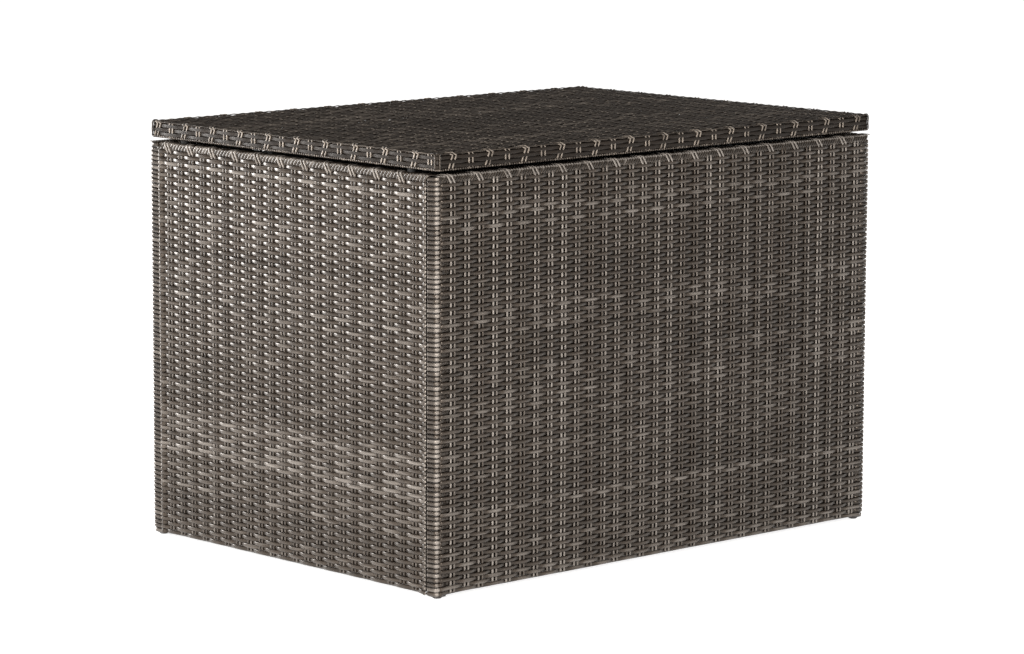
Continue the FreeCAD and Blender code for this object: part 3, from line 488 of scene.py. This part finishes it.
def wall(name, panel, pairs, singles, start, end, turn_in, look, stake_look, section):
    """One woven wall: its wefts in two halves, and its stakes."""
    crossings = np.sort(np.concatenate([pairs, singles]))
    order = {place: number for number, place in enumerate(crossings)}
    for part, rows in (("lower", range(0, ROWS // 2)), ("upper", range(ROWS // 2, ROWS))):
        wefts = Strands()
        weave_wefts(wefts, panel, rows, crossings, start, end, turn_in, -SKIN_MIDDLE, row_height, look,
                    section=section)
        wefts.piece(f"{name}_wefts_{part}", "box", WICKER, "panel_wicker", f"{name}_weave")
    stakes = Strands()
    placed = [(place + way * PAIR_HALF, order[place]) for place in pairs for way in (-1, 1)]
    placed += [(place, order[place]) for place in singles]
    weave_stakes(stakes, panel, 0, ROWS - 1, placed, -SKIN_MIDDLE, row_height, weave_base + 1.5 * MM,
                 rim_base + 4 * MM, look=stake_look)
    stakes.piece(f"{name}_stakes", "box", WICKER, "panel_wicker", f"{name}_weave")


def wall_panels():
    """The four walls' names and panels."""
    return (("front", Panel((-half_x, -half_y, 0), X, Z, -Y)),
            ("back", Panel((half_x, half_y, 0), -X, Z, Y)),
            ("left", Panel((-half_x, side_half, 0), -Y, Z, -X)),
            ("right", Panel((half_x, -side_half, 0), Y, Z, X)))


def walls():
    """All four walls."""
    long_pairs = np.linspace(FIRST_PAIR, 2 * half_x - FIRST_PAIR, LONG_PAIRS)
    side_length = 2 * side_half
    side_pairs = np.linspace(SIDE_FIRST, side_length - SIDE_FIRST, SIDE_PAIRS)
    singles = np.array([5 * MM, side_length - 5 * MM])
    front, back, left, right = wall_panels()
    # Painted shade and highlight: the front and back wefts are painted darker, and more strongly darker
    # behind the pairs and lighter in front, and their stakes are painted lighter; the side walls' wefts are
    # painted lighter on their turned ends.
    for (name, panel), pinch in ((front, -0.18), (back, -0.2)):
        wall(name, panel, long_pairs, np.array([]), POST_EDGE, 2 * half_x - POST_EDGE, 1 * MM,
             (0.3 * MM, WEFT_SWING, pinch, -0.21, 0.28, 0, DROOP), (STAKE, 0.33), SLIM_WEFT)
    for name, panel in (left, right):
        wall(name, panel, side_pairs, singles, 1.6 * MM, side_length - 1.6 * MM, 0.8 * MM,
             (0.25 * MM, WEFT_SWING, -0.12, 0.0, 0.05, 0.6, DROOP), (FLAT_STAKE, 0.05), WEFT)


def wrap_plan():
    """One wrap seen from above: its distances in from the side face and from the long face, where it
    faces, and the painted highlight on its bends."""
    depth = 0.7 * MM
    bend = 4 * MM
    seam = half_y - side_half - 0.5 * MM
    tuck = POST_EDGE + 17 * MM
    plan = [(3.2 * MM, seam - 0.6 * MM), (1.6 * MM, seam - 0.3 * MM), (0.7 * MM, seam - 2.2 * MM)]
    plan += [(depth, b) for b in np.linspace(seam - 5 * MM, bend, 4)]
    plan += [(depth + 0.45 * bend, depth + 0.42 * bend), (bend, depth)]
    plan += [(POST_EDGE, depth + 0.3 * MM), (POST_EDGE + 4 * MM, depth + 1.6 * MM), (tuck, depth + 1.6 * MM)]
    facing = np.array([(0.5, 0.0), (0.8, -0.5), (1, -0.35)] + [(1, 0)] * 3
                      + [(1, 0.12), (0.7, 0.7), (0.12, 1)] + [(0, 1)] * 3)
    # Painted highlight: each wrap is painted lighter where it bends round the post's corner and where it
    # turns in at the seam.
    worn_and_painted_light = np.array([0, 0, 0.3] + [0] * 3 + [0.25, 0.6, 0.4] + [0] * 3)
    return np.array(plan), facing, worn_and_painted_light


def post_wraps():
    """Strand wound round each corner post, looser than the rows of the walls."""
    plan, facing, worn_and_painted_light = wrap_plan()
    foot_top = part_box("foot_front_left")[0][2] + 4.5 * MM
    post_top = rim_top - 1.5 * MM
    count = int((post_top - foot_top) / WRAP_PITCH)
    for name, sign_x, sign_y in (("front_left", -1, -1), ("front_right", 1, -1),
                                 ("back_left", -1, 1), ("back_right", 1, 1)):
        wraps = Strands()
        outward = np.column_stack([facing[:, 0] * sign_x, facing[:, 1] * sign_y, np.zeros(len(facing))])
        outward /= np.linalg.norm(outward, axis=1)[:, None]
        way = sign_x * sign_y
        for number in range(count):
            height = foot_top + (number + 0.5) * (post_top - foot_top) / count
            tight = 1.4 * MM * (math.exp(-number * 1.2) + math.exp((number + 1 - count) * 1.2))
            rise = np.linspace(-0.16, 0.16, len(plan)) * WRAP_PITCH + rng.normal(0, 0.25 * MM)
            points = np.column_stack([sign_x * (half_x - plan[:, 0] - tight),
                                      sign_y * (half_y - plan[:, 1] - tight), height + rise])
            wraps.add(points[::way], outward[::way], WRAP, tone=strand_tone() + worn_and_painted_light[::way])
        wraps.piece(f"post_wraps_{name}", "box", WICKER, "panel_wicker", f"post_wrap_{name}")


def feet():
    """Small domed plug feet under the posts."""
    levels = np.array([(0.0, 5.0), (0.35, 7.6), (1.3, 8.9), (2.6, 9.2), (4.0, 9.2), (5.0, 8.8)]) * MM
    around = 32
    turns = np.linspace(0, 2 * math.pi, around + 1)[:-1]
    faces = [tuple(reversed(range(around))), tuple(range(5 * around, 6 * around))]
    for level in range(5):
        start = level * around
        for i in range(around):
            j = (i + 1) % around
            faces.append((start + i, start + j, start + around + j, start + around + i))
    for name in ("front_left", "front_right", "back_left", "back_right"):
        low, high = span_of(f"foot_{name}")
        middle = (low + high) / 2
        verts = [(middle[0] + radius * math.cos(turn), middle[1] + radius * math.sin(turn), low[2] + up)
                 for up, radius in levels for turn in turns]
        box_mesh(f"foot_pad_{name}", verts, faces, CARRIED["foot_plastic"], f"foot_{name}")


def rim_hooks(wraps, panel, pairs):
    """Every second stake pair loops over the rim."""
    # Out from the CAD face, height, and how far back along the rim.
    hook = np.array([(0.0, -5, 0), (1.0, -1, 1.5), (0.9, 4, 4), (0.7, 9, 7), (-0.3, 13.3, 9),
                     (-5, 14.6, 11), (-14, 14.6, 13), (-22, 13.6, 15)])
    turned = np.array([(1, 0), (1, 0), (1, 0), (1, 0.2), (0.7, 0.7), (0.1, 1), (0, 1), (0, 1)])
    outward = turned[:, :1] * panel.out + turned[:, 1:] * panel.up
    outward /= np.linalg.norm(outward, axis=1)[:, None]
    for place in pairs[::2]:
        for way in (-1, 1):
            points = panel.at(place + way * PAIR_HALF - hook[:, 2] * MM, rim_base + hook[:, 1] * MM,
                              hook[:, 0] * MM)
            # Painted highlight: the hooks are painted lighter than the other strands.
            wraps.add(points, outward, HOOK, tone=strand_tone() + 0.6)


def rim_wraps(wraps, panel, length, margin, pitch, wear_and_painted_light):
    """Close wraps over one top rail."""
    # Out from the CAD face, height, and how far along it has gone.
    section = np.array([(-2.2, -1.2, -0.55), (-0.9, 0.2, -0.5), (-0.5, 3.5, -0.3), (-0.5, 9.5, 0.1),
                        (-1.1, 12.6, 0.3), (-4, 13.5, 0.4), (-14, 13.5, 0.45), (-24, 13.4, 0.5),
                        (-27.6, 12.4, 0.5), (-28.4, 9.5, 0.5), (-28.4, 4, 0.5)])
    facing = np.array([(0.8, -0.6), (1, -0.2), (1, 0), (1, 0.1), (0.7, 0.7), (0.15, 1), (0, 1), (-0.15, 1),
                       (-0.7, 0.7), (-1, 0.1), (-1, 0)])
    # Painted shade and highlight: each wrap is painted darker down its outer face, under the lid, and
    # lighter over its upper bend and top; the scale passed in sets how strong this is.
    worn_and_painted_light = np.array([-0.4, -0.35, -0.3, -0.1, 0.85, 0.25] + [0] * 5)
    for place in np.linspace(margin, length - margin, int((length - 2 * margin) / pitch)):
        over_post = min(place, length - place) < POST_EDGE and length > 2 * side_half
        used = slice(4, None) if over_post else slice(None)
        points = panel.at(place + section[used, 2] * pitch * 1.3, rim_base + section[used, 1] * MM,
                          section[used, 0] * MM)
        outward = facing[used, :1] * panel.out + facing[used, 1:] * panel.up
        outward /= np.linalg.norm(outward, axis=1)[:, None]
        wraps.add(points, outward, (0.88 * pitch, 1.0 * MM, 0.4 * MM),
                  tone=strand_tone() + wear_and_painted_light * worn_and_painted_light[used])


def rim_binding():
    """The wound binding of all four rims, with the stake pairs that loop over it."""
    long_pairs = np.linspace(FIRST_PAIR, 2 * half_x - FIRST_PAIR, LONG_PAIRS)
    side_pairs = np.linspace(SIDE_FIRST, 2 * side_half - SIDE_FIRST, SIDE_PAIRS)
    for name, panel in wall_panels():
        wraps = Strands()
        if name in ("front", "back"):
            rim_wraps(wraps, panel, 2 * half_x, 3.4 * MM, RIM_PITCH, 1.0)
            rim_hooks(wraps, panel, long_pairs)
        else:
            rim_wraps(wraps, panel, 2 * side_half, 3.6 * MM, SIDE_RIM_PITCH, 0.4)
            rim_hooks(wraps, panel, side_pairs)
        wraps.piece(f"{name}_rim_wraps", "box", RIM_WICKER, "rim_wicker", f"{name}_rim_binding")


walls()
post_wraps()
feet()
rim_binding()


# ---- lid ----------------------------------------------------------------------------------

lid_low, lid_high = span_of("lid_top_weave")
edge_low, edge_high = span_of("lid_edge_weave")
bind_low, bind_high = span_of("lid_binding")
LID_ROUND = 9 * MM
edge_row = (edge_high[2] - edge_low[2]) / 3


def lid_outline(inset, spacing):
    """Points round the lid, in from its outside, with their outward directions, anticlockwise."""
    radius = LID_ROUND - inset
    x = lid_high[0] - LID_ROUND
    front = lid_low[1] + LID_ROUND
    back = lid_high[1] - LID_ROUND
    points, facing = [], []
    corners = (((x, front), -90), ((x, back), 0), ((-x, back), 90), ((-x, front), 180))
    for number, ((cx, cy), start) in enumerate(corners):
        for turn in np.radians(start + np.linspace(0, 90, 5)):
            points.append((cx + radius * math.cos(turn), cy + radius * math.sin(turn)))
            facing.append((math.cos(turn), math.sin(turn)))
        (nx, ny), _ = corners[(number + 1) % 4]
        turn = math.radians(start + 90)
        begin = np.array(points[-1])
        finish = np.array((nx + radius * math.cos(turn), ny + radius * math.sin(turn)))
        steps = max(2, int(np.linalg.norm(finish - begin) / spacing))
        for part in np.arange(1, steps) / steps:
            points.append(tuple(begin + part * (finish - begin)))
            facing.append((math.cos(turn), math.sin(turn)))
    return np.array(points), np.array(facing)


def lid_pairs():
    """Places of the stake pairs round the lid's edge, as points and outward directions, in order."""
    x = lid_high[0]
    front, back = lid_low[1], lid_high[1]
    across = (np.arange(25) - 12) * LID_PAIR_X
    deep = (front + back) / 2 + (np.arange(20) - 9.5) * LID_PAIR_Y
    places = [((place, front), (0, -1)) for place in across]
    places += [((x, place), (1, 0)) for place in deep]
    places += [((place, back), (0, 1)) for place in across[::-1]]
    places += [((-x, place), (-1, 0)) for place in deep[::-1]]
    return places


def lid_corners():
    """Places of the pairs bent round the lid's corners, as points and outward directions."""
    slant = math.sqrt(0.5)
    bend = LID_ROUND * (1 - slant)
    places = []
    for way_x in (-1, 1):
        for way_y, y in ((-1, lid_low[1]), (1, lid_high[1])):
            places.append(((way_x * (lid_high[0] - bend), y - way_y * bend), (way_x * slant, way_y * slant)))
    return places


def lid_edge_rows():
    """Three rows round the lid, and the strand along the top of its edge."""
    points, facing = lid_outline(0.9 * MM, LID_PAIR_Y / STEPS)
    nearest = [int(np.argmin(np.linalg.norm(points - np.array(place), axis=1))) for place, _ in lid_pairs()]
    start = nearest[0]
    points, facing = np.roll(points, -start, 0), np.roll(facing, -start, 0)
    knots = [(index - start) % len(points) for index in nearest] + [len(points)]
    theta = np.interp(np.arange(len(points)), knots, np.arange(len(knots)) * math.pi)
    outward = np.column_stack([facing, np.zeros(len(facing))])
    rows = Strands()
    for number in range(3):
        phase = 1 if number % 2 else -1
        height = edge_low[2] + (number + 0.5) * edge_row
        swing = 0.8 * MM * phase * swing_at(theta)
        centre = np.column_stack([points, np.full(len(points), height)]) + outward * swing[:, None]
        rows.add(centre, outward, LID_EDGE_ROW, tone=0.1 + 0.06 * number, closed=True)
    top_points, top_facing = lid_outline(1.6 * MM, 3 * MM)
    ripple = 0.5 * MM * np.sin(np.linspace(0, 2 * math.pi * 176, len(top_points) + 1)[:-1])
    slant = np.column_stack([top_facing * 0.7, np.full(len(top_facing), 0.7)])
    rows.add(np.column_stack([top_points, lid_high[2] - 1.1 * MM + ripple]), slant, LID_TOP_STRAND, tone=0.5,
             closed=True)
    rows.piece("lid_edge_rows", "lid", LID_EDGE_WICKER, "lid_wicker", "lid_edge_weave")


def edge_stake(foot, face, number, hooked, at_corner):
    """Points and outward directions of one stake up the lid's edge, with its hook over the top."""
    side = np.cross(Z, face)
    heights = np.linspace(edge_low[2] - 0.5 * MM, edge_high[2], 7)
    push = 0.35 * MM * np.cos(math.pi * ((heights - edge_low[2]) / edge_row - 0.5 + number))
    slope = 0.4 if hooked and not at_corner else 0
    points = [foot + face * (-1.1 * MM + out) + Z * height + side * (slope * (height - heights[3]))
              for height, out in zip(heights, push)]
    # In from the edge, up from the lid's top, and along the edge.
    hook = [(1.6, -1.6, 0.9), (3.5, 0.4, 2.7), (8, 0.2, 5.4), (12, -1.8, 8.1)]
    turned = [face] * 8
    if hooked:
        turned = [face] * 7 + [face + 0.6 * Z, 0.3 * face + Z, Z, Z]
    points += [foot - face * (back * MM) + Z * (lid_high[2] + up * MM) - side * (aside * MM)
               for back, up, aside in hook[:len(turned) - 7]]
    turned = np.array(turned)
    return np.array(points), turned / np.linalg.norm(turned, axis=1)[:, None]


def lid_edge_stakes():
    """The stake pairs at the lid's edge: every second one, and those at the corners, hook over the top."""
    fade = np.array([0.0] * 8 + [-0.1, -0.5, -0.6])
    stakes = Strands()
    for number, (place, face) in enumerate(lid_pairs() + lid_corners()):
        at_corner = abs(face[0] * face[1]) > 0.1
        hooked = number % 2 == 0 or at_corner
        face = np.array((*face, 0.0))
        base = np.array((*place, 0.0)) + face * (1.3 * MM if at_corner else 0)
        for way in (-1, 1):
            foot = base + np.cross(Z, face) * way * PAIR_HALF
            points, turned = edge_stake(foot, face, number, hooked, at_corner)
            # Painted highlight: the stakes are painted lighter than the edge rows, except at the corners,
            # where they are painted darker; each hook is painted darker towards its tip.
            lighter = -0.15 if at_corner else 0.55
            stakes.add(points, turned, LID_STAKE, tone=strand_tone() + lighter + fade[:len(turned)])
    stakes.piece("lid_edge_stakes", "lid", LID_WICKER, "lid_wicker", "lid_edge_weave")


def lid_bulge(along, up):
    """The hand-woven top isn't quite flat."""
    slanting = 0.876 * up - 0.482 * along
    wave = np.sin(slanting * 180 + 1.6 * np.sin(along * 31 + 1) + 1.2 * np.sin(up * 23))
    return 0.5 * MM * (wave + 0.5 * np.sin(along * 17 + 2 * np.sin(up * 11)))


def lid_top():
    """The flat woven field of the lid."""
    panel = Panel((-lid_high[0], lid_low[1], 0), X, Y, Z)
    length = 2 * lid_high[0]
    depth = lid_high[1] - lid_low[1]
    pairs = length / 2 + (np.arange(25) - 12) * LID_PAIR_X
    rows = int((depth - 6 * MM) / ROW)
    middle = lid_high[2] - 2.4 * MM

    def level(number):
        """Distance back of the middle of a row."""
        return 3 * MM + (np.asarray(number) + 0.5) * (depth - 6 * MM) / rows

    for part, used in (("front", range(0, rows // 2)), ("back", range(rows // 2, rows))):
        wefts = Strands()
        # Painted shade and highlight: the lid's wefts are painted darker, and darker behind the pairs and
        # lighter in front; its stakes are painted lighter.
        weave_wefts(wefts, panel, used, pairs, 3 * MM, length - 3 * MM, 0.8 * MM, middle, level,
                    (0.3 * MM, LID_SWING, -0.1, -0.12, 0.16, 0, 0), lid_bulge, LID_WEFT)
        wefts.piece(f"lid_top_wefts_{part}", "lid", LID_WICKER, "lid_wicker", "lid_top_weave")
    stakes = Strands()
    weave_stakes(stakes, panel, 0, rows - 1, doubled(pairs), middle, level, 2 * MM, depth - 2 * MM,
                 lid_bulge)
    stakes.piece("lid_top_stakes", "lid", LID_WICKER, "lid_wicker", "lid_top_weave")


def lid_binding():
    """Fine close wraps round the lid's lower edge."""
    points, facing = lid_outline(0.0, LID_WRAP_PITCH)
    wraps = Strands()
    low, high = bind_low[2] - lid_low[2], bind_high[2] - lid_low[2]
    section = np.array([(-1.6, high / MM + 1.0), (-0.4, high / MM - 0.2), (0.1, (low + high) / 2 / MM),
                        (-0.8, low / MM + 0.2), (-4, low / MM - 0.2), (-14, low / MM - 0.2),
                        (-24, low / MM - 0.2), (-27.2, low / MM + 0.4), (-28.2, high / MM - 0.2)])
    turned = np.array([(0.7, 0.7), (1, 0.3), (1, 0), (0.7, -0.7), (0.1, -1), (0, -1), (-0.1, -1),
                       (-0.7, -0.7), (-1, -0.2)])
    turned /= np.linalg.norm(turned, axis=1)[:, None]
    # Painted highlight and shade: each wrap is painted lighter on its outermost face and darker over its top
    # and underneath.
    worn_and_painted_light = np.array([-0.2, 0.0, 0.2, 0.0, -0.2, -0.2, -0.2, -0.2, -0.2])
    for place, face in zip(points, facing):
        face3 = np.array((*face, 0.0))
        corner = abs(face[0] * face[1]) > 0.01
        reach = section[:5] if corner else section
        inward = turned[:5] if corner else turned
        centre = (np.array((*place, lid_low[2])) + reach[:, :1] * MM * face3 + reach[:, 1:] * MM * Z)
        outward = inward[:, :1] * face3 + inward[:, 1:] * Z
        wraps.add(centre, outward, LID_WRAP, tone=strand_tone() + worn_and_painted_light[:len(reach)])
    wraps.piece("lid_lower_wraps", "lid", LID_WICKER, "lid_wicker", "lid_binding")


lid_edge_rows()
lid_edge_stakes()
lid_top()
lid_binding()


# ---- floor --------------------------------------------------------------------------------

def woven_floor():
    """The woven floor under the liner, a coarser field than the walls."""
    low, high = span_of("floor_weave")
    panel = Panel((low[0], low[1], 0), X, Y, Z)
    length, depth = high[0] - low[0], high[1] - low[1]
    pairs = np.linspace(30 * MM, length - 30 * MM, FLOOR_PAIRS)
    rows = int(depth / FLOOR_ROW)
    middle = (low[2] + high[2]) / 2 + 0.2 * MM

    def level(number):
        """Distance back of the middle of a row."""
        return (np.asarray(number) + 0.5) * depth / rows

    wefts = Strands()
    # Painted shade and highlight: the floor's wefts are painted darker behind the pairs and lighter in
    # front, and its stakes lighter.
    weave_wefts(wefts, panel, range(rows), pairs, 3 * MM, length - 3 * MM, 0.5 * MM, middle, level,
                (0.3 * MM, WEFT_SWING, -0.1, 0.0, 0.2, 0, 0))
    wefts.piece("floor_wefts", "box", WICKER, "panel_wicker", "floor_weave")
    stakes = Strands()
    weave_stakes(stakes, panel, 0, rows - 1, doubled(pairs), middle, level, 2 * MM, depth - 2 * MM)
    stakes.piece("floor_stakes", "box", WICKER, "panel_wicker", "floor_weave")


woven_floor()


# ---- liner --------------------------------------------------------------------------------

LINER_ROUND = 88 * MM


def rounded_outline(half_long, half_wide, radius, spacing):
    """Points and outward directions round a rounded rectangle, anticlockwise from the front's middle."""
    points, facing = [], []
    corners = ((half_long, -half_wide, -90), (half_long, half_wide, 0), (-half_long, half_wide, 90),
               (-half_long, -half_wide, 180))
    for number, (x, y, start) in enumerate(corners):
        cx = x - math.copysign(radius, x)
        cy = y - math.copysign(radius, y)
        for turn in np.radians(start + np.linspace(0, 90, 13)):
            points.append((cx + radius * math.cos(turn), cy + radius * math.sin(turn)))
            facing.append((math.cos(turn), math.sin(turn)))
        nx, ny, _ = corners[(number + 1) % 4]
        turn = math.radians(start + 90)
        begin = np.array(points[-1])
        finish = np.array((nx - math.copysign(radius, nx) + radius * math.cos(turn),
                           ny - math.copysign(radius, ny) + radius * math.sin(turn)))
        steps = max(2, int(np.linalg.norm(finish - begin) / spacing))
        for part in np.arange(1, steps) / steps:
            points.append(tuple(begin + part * (finish - begin)))
            facing.append((math.cos(turn), math.sin(turn)))
    return np.array(points), np.array(facing)


def folds(along, height, top):
    """How far the hanging cloth stands in from its outline: soft upright folds and slack creases."""
    hang = np.clip((top - height) / top, 0, 1)
    upright = 1.8 * np.sin(along * 17 + 1.3 * np.sin(along * 5.3)) + 1.2 * np.sin(along * 41 + 2.0)
    slack = 1.6 * np.sin(height * 33 + 2.2 * np.sin(along * 6.1)) * np.sin(along * 11 + height * 7)
    return (2.6 + 0.9 * upright * (0.35 + hang) + slack * hang) * MM


def eyelet_place():
    """Distance back and height of the eyelets that the lower ball studs come through."""
    low, high = span_of("strut_left_lower_socket")
    return (low[1] + high[1]) / 2, (low[2] + high[2]) / 2


def clear_of_eyelets(outline, height):
    """0 at the eyelets, where the cloth is held flat, to 1 away from them."""
    back, up = eyelet_place()
    away = np.hypot(outline[:, 1] - back, height - up) + (np.abs(outline[:, 0]) < 0.5) * 1.0
    return 1 - np.exp(-(away / (35 * MM)) ** 2)


def liner_outline():
    """The bag's outline just inside its CAD solid, with outward directions."""
    low, high = span_of("liner")
    return rounded_outline(high[0] - 1 * MM, high[1] - 1 * MM, LINER_ROUND, 12 * MM)


def liner_edge():
    """The bag's turned hem, its stitching and the two eyelets' rings."""
    top = span_of("liner")[1][2]
    outline, facing = liner_outline()
    facing = np.column_stack([facing, np.zeros(len(facing))])
    outline = np.column_stack([outline, np.full(len(outline), top)])
    hem = Strands()
    hem.add(outline - facing * 1.0 * MM - Z * 11 * MM, -facing, HEM, tone=0.5, closed=True)
    stitches = Strands()
    around = np.vstack([outline, outline[:1]])
    along = np.concatenate([[0.0], np.cumsum(np.linalg.norm(np.diff(around, axis=0), axis=1))])
    turned = np.vstack([facing, facing[:1]])
    for start in np.arange(0, along[-1] - STITCH_PITCH, STITCH_PITCH):
        spots = start + np.array([0, 1.9, 3.8]) * MM
        centre = np.column_stack([np.interp(spots, along, around[:, axis]) for axis in range(3)])
        inward = -np.column_stack([np.interp(spots, along, turned[:, axis]) for axis in range(3)])
        depth = np.array([1.3, 1.8, 1.3]) * MM
        stitches.add(centre + inward * depth[:, None] - Z * 18.5 * MM, inward, STITCH_STRAND)
    rings = Strands()
    back, up = eyelet_place()
    turn = np.linspace(0, 2 * math.pi, 33)[:-1]
    reach = span_of("liner")[1][0] - 3 * MM
    for side in (-1, 1):
        circle = np.column_stack([np.full(32, side * reach), back + EYELET_RADIUS * np.cos(turn),
                                  up + EYELET_RADIUS * np.sin(turn)])
        rings.add(circle, np.array((-side, 0.0, 0.0)), EYELET_RING, closed=True)
    return (hem.piece("liner_hem", "box", LINER_CLOTH, "liner_fabric"),
            stitches.piece("liner_stitches", "box", STITCH, "liner_fabric"),
            rings.piece("liner_eyelet_rings", "box", CARRIED["stud_plastic"], "stud_plastic"))


def bag_rings(base, top):
    """Rings of points round the bag, from the middle of its floor out, then up its walls to the hem."""
    outline, facing = liner_outline()
    step = np.linalg.norm(np.diff(np.vstack([outline, outline[:1]]), axis=0), axis=1)
    along = np.concatenate([[0.0], np.cumsum(step)[:-1]])
    heights = np.concatenate([[base + 3 * MM], np.linspace(base + 14 * MM, top - 26 * MM, 52),
                              [top - 24 * MM, top - 22 * MM, top - 12 * MM, top - 2 * MM, top]])
    rings = []
    for height in heights:
        near_top = np.clip((top - height) / (60 * MM), 0, 1)
        inward = folds(along, height, top) * near_top * clear_of_eyelets(outline, height) + 1.0 * MM
        if height < base + 10 * MM:
            inward = inward + 5 * MM
        rings.append(np.column_stack([outline - facing * inward[:, None], np.full(len(outline), height)]))
    for number in range(1, BAG_FLOOR_RINGS):
        plan = rings[0][:, :2] * (1 - number / BAG_FLOOR_RINGS)
        crease = 1.2 * MM * np.abs(np.sin(plan[:, 0] * 13 + 2 * np.sin(plan[:, 1] * 9)))
        rings.insert(0, np.column_stack([plan, base + crease * min(1, number / 4)]))
    return rings


def liner_bag():
    """The hanging fabric bag: four walls with soft folds, and a floor."""
    low, high = span_of("liner")
    base = low[2] + 1 * MM
    rings = bag_rings(base, high[2])
    count = len(rings[0])
    verts = [(0.0, 0.0, base)]
    for ring in rings:
        verts.extend(map(tuple, ring))
    faces = [(0, 1 + (i + 1) % count, 1 + i) for i in range(count)]
    for level in range(len(rings) - 1):
        start = 1 + level * count
        for i in range(count):
            j = (i + 1) % count
            faces.append((start + i, start + j, start + count + j, start + count + i))
    return box_mesh("liner_bag", verts, faces, LINER_CLOTH, "liner")


bag = liner_bag()
liner_edge()


# ---- materials of the carried CAD nodes ----------------------------------------------------

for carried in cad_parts.values():
    for slot in carried.material_slots:
        if slot.material and slot.material.name in CARRIED:
            slot.material = CARRIED[slot.material.name]


# ---- stage, light and camera ----------------------------------------------------------------

def stage():
    """A pale floor that runs on to the horizon, glowing a little."""
    mesh = bpy.data.meshes.new("studio_floor")
    reach = 60
    mesh.from_pydata([(-reach, -reach, 0), (reach, -reach, 0), (reach, reach, 0), (-reach, reach, 0)], [],
                     [(0, 1, 2, 3)])
    floor = bpy.data.objects.new("studio_floor", mesh)
    bpy.context.scene.collection.objects.link(floor)
    made, tree, shader = new_material("studio_pale")
    place = node(tree, "ShaderNodeTexCoord").outputs["Object"]
    tone = ramp(tree, noise(tree, place, 0.7, 3.0), [(0.3, (0.86, 0.86, 0.86)), (0.7, (0.90, 0.90, 0.90))])
    tree.links.new(tone, shader.inputs["Base Color"])
    shader.inputs["Roughness"].default_value = 0.9
    shader.inputs["Emission Color"].default_value = (1, 1, 1, 1)
    shader.inputs["Emission Strength"].default_value = 0.8
    mesh.materials.append(made)


def soft_box(name, place, target, wide, high, power, colour=(1, 1, 1)):
    """A rectangular studio light that faces a target."""
    data = bpy.data.lights.new(name, "AREA")
    data.shape = "RECTANGLE"
    data.size, data.size_y = wide, high
    data.energy = power
    data.color = colour
    made = bpy.data.objects.new(name, data)
    made.location = place
    made.rotation_euler = (Vector(target) - Vector(place)).to_track_quat("-Z", "Y").to_euler()
    bpy.context.scene.collection.objects.link(made)


def lights():
    """A box from behind on the left, a large key on the left, a slim one in front, a fill and a surround."""
    soft_box("back_left_box", (-1.5, 5.0, 1.3), (-0.6, 0, 0.4), 2.1, 2.5, 288)
    soft_box("left_key", (-4.6, -1.2, 1.7), (0, 0, 0.42), 2.2, 3.2, 318, (1, 0.965, 0.925))
    soft_box("front_key", (-1.3, -4.4, 0.95), (0, 0, 0.42), 0.7, 1.8, 100, (1, 0.965, 0.925))
    soft_box("right_fill", (5.0, 0.4, 1.5), (0, 0, 0.42), 2.0, 2.2, 110)
    world = bpy.data.worlds.new("studio_air")
    world.use_nodes = True
    tree = world.node_tree
    toward = node(tree, "ShaderNodeVectorMath", operation="DOT_PRODUCT")
    toward.inputs[1].default_value = (0.68, 0.73, 0.0)
    tree.links.new(node(tree, "ShaderNodeTexCoord").outputs["Generated"], toward.inputs[0])
    air = ramp(tree, toward.outputs["Value"], [(0.78, (0.36, 0.35, 0.34)), (0.985, (0.066, 0.050, 0.037))])
    tree.links.new(air, tree.nodes["Background"].inputs["Color"])
    bpy.context.scene.world = world


def camera():
    """The photograph's view: from the front left, a little above, with a long lens."""
    heading, dip, roll = math.radians(43.0), math.radians(8.479), math.radians(0.218)
    ahead = Vector((math.sin(heading) * math.cos(dip), math.cos(heading) * math.cos(dip), -math.sin(dip)))
    right = ahead.cross(Vector((0, 0, 1))).normalized()
    up = right.cross(ahead)
    right, up = right * math.cos(roll) + up * math.sin(roll), up * math.cos(roll) - right * math.sin(roll)
    turn = Matrix((right, up, -ahead)).transposed()
    data = bpy.data.cameras.new("view")
    data.lens = 141.24
    data.sensor_width = 36
    data.sensor_fit = "HORIZONTAL"
    made = bpy.data.objects.new("view", data)
    made.matrix_world = Matrix.Translation((-5.5242, -5.9209, 1.6193)) @ turn.to_4x4()
    bpy.context.scene.collection.objects.link(made)
    bpy.context.scene.camera = made


stage()
lights()
camera()
bpy.context.scene.view_settings.view_transform = "Standard"
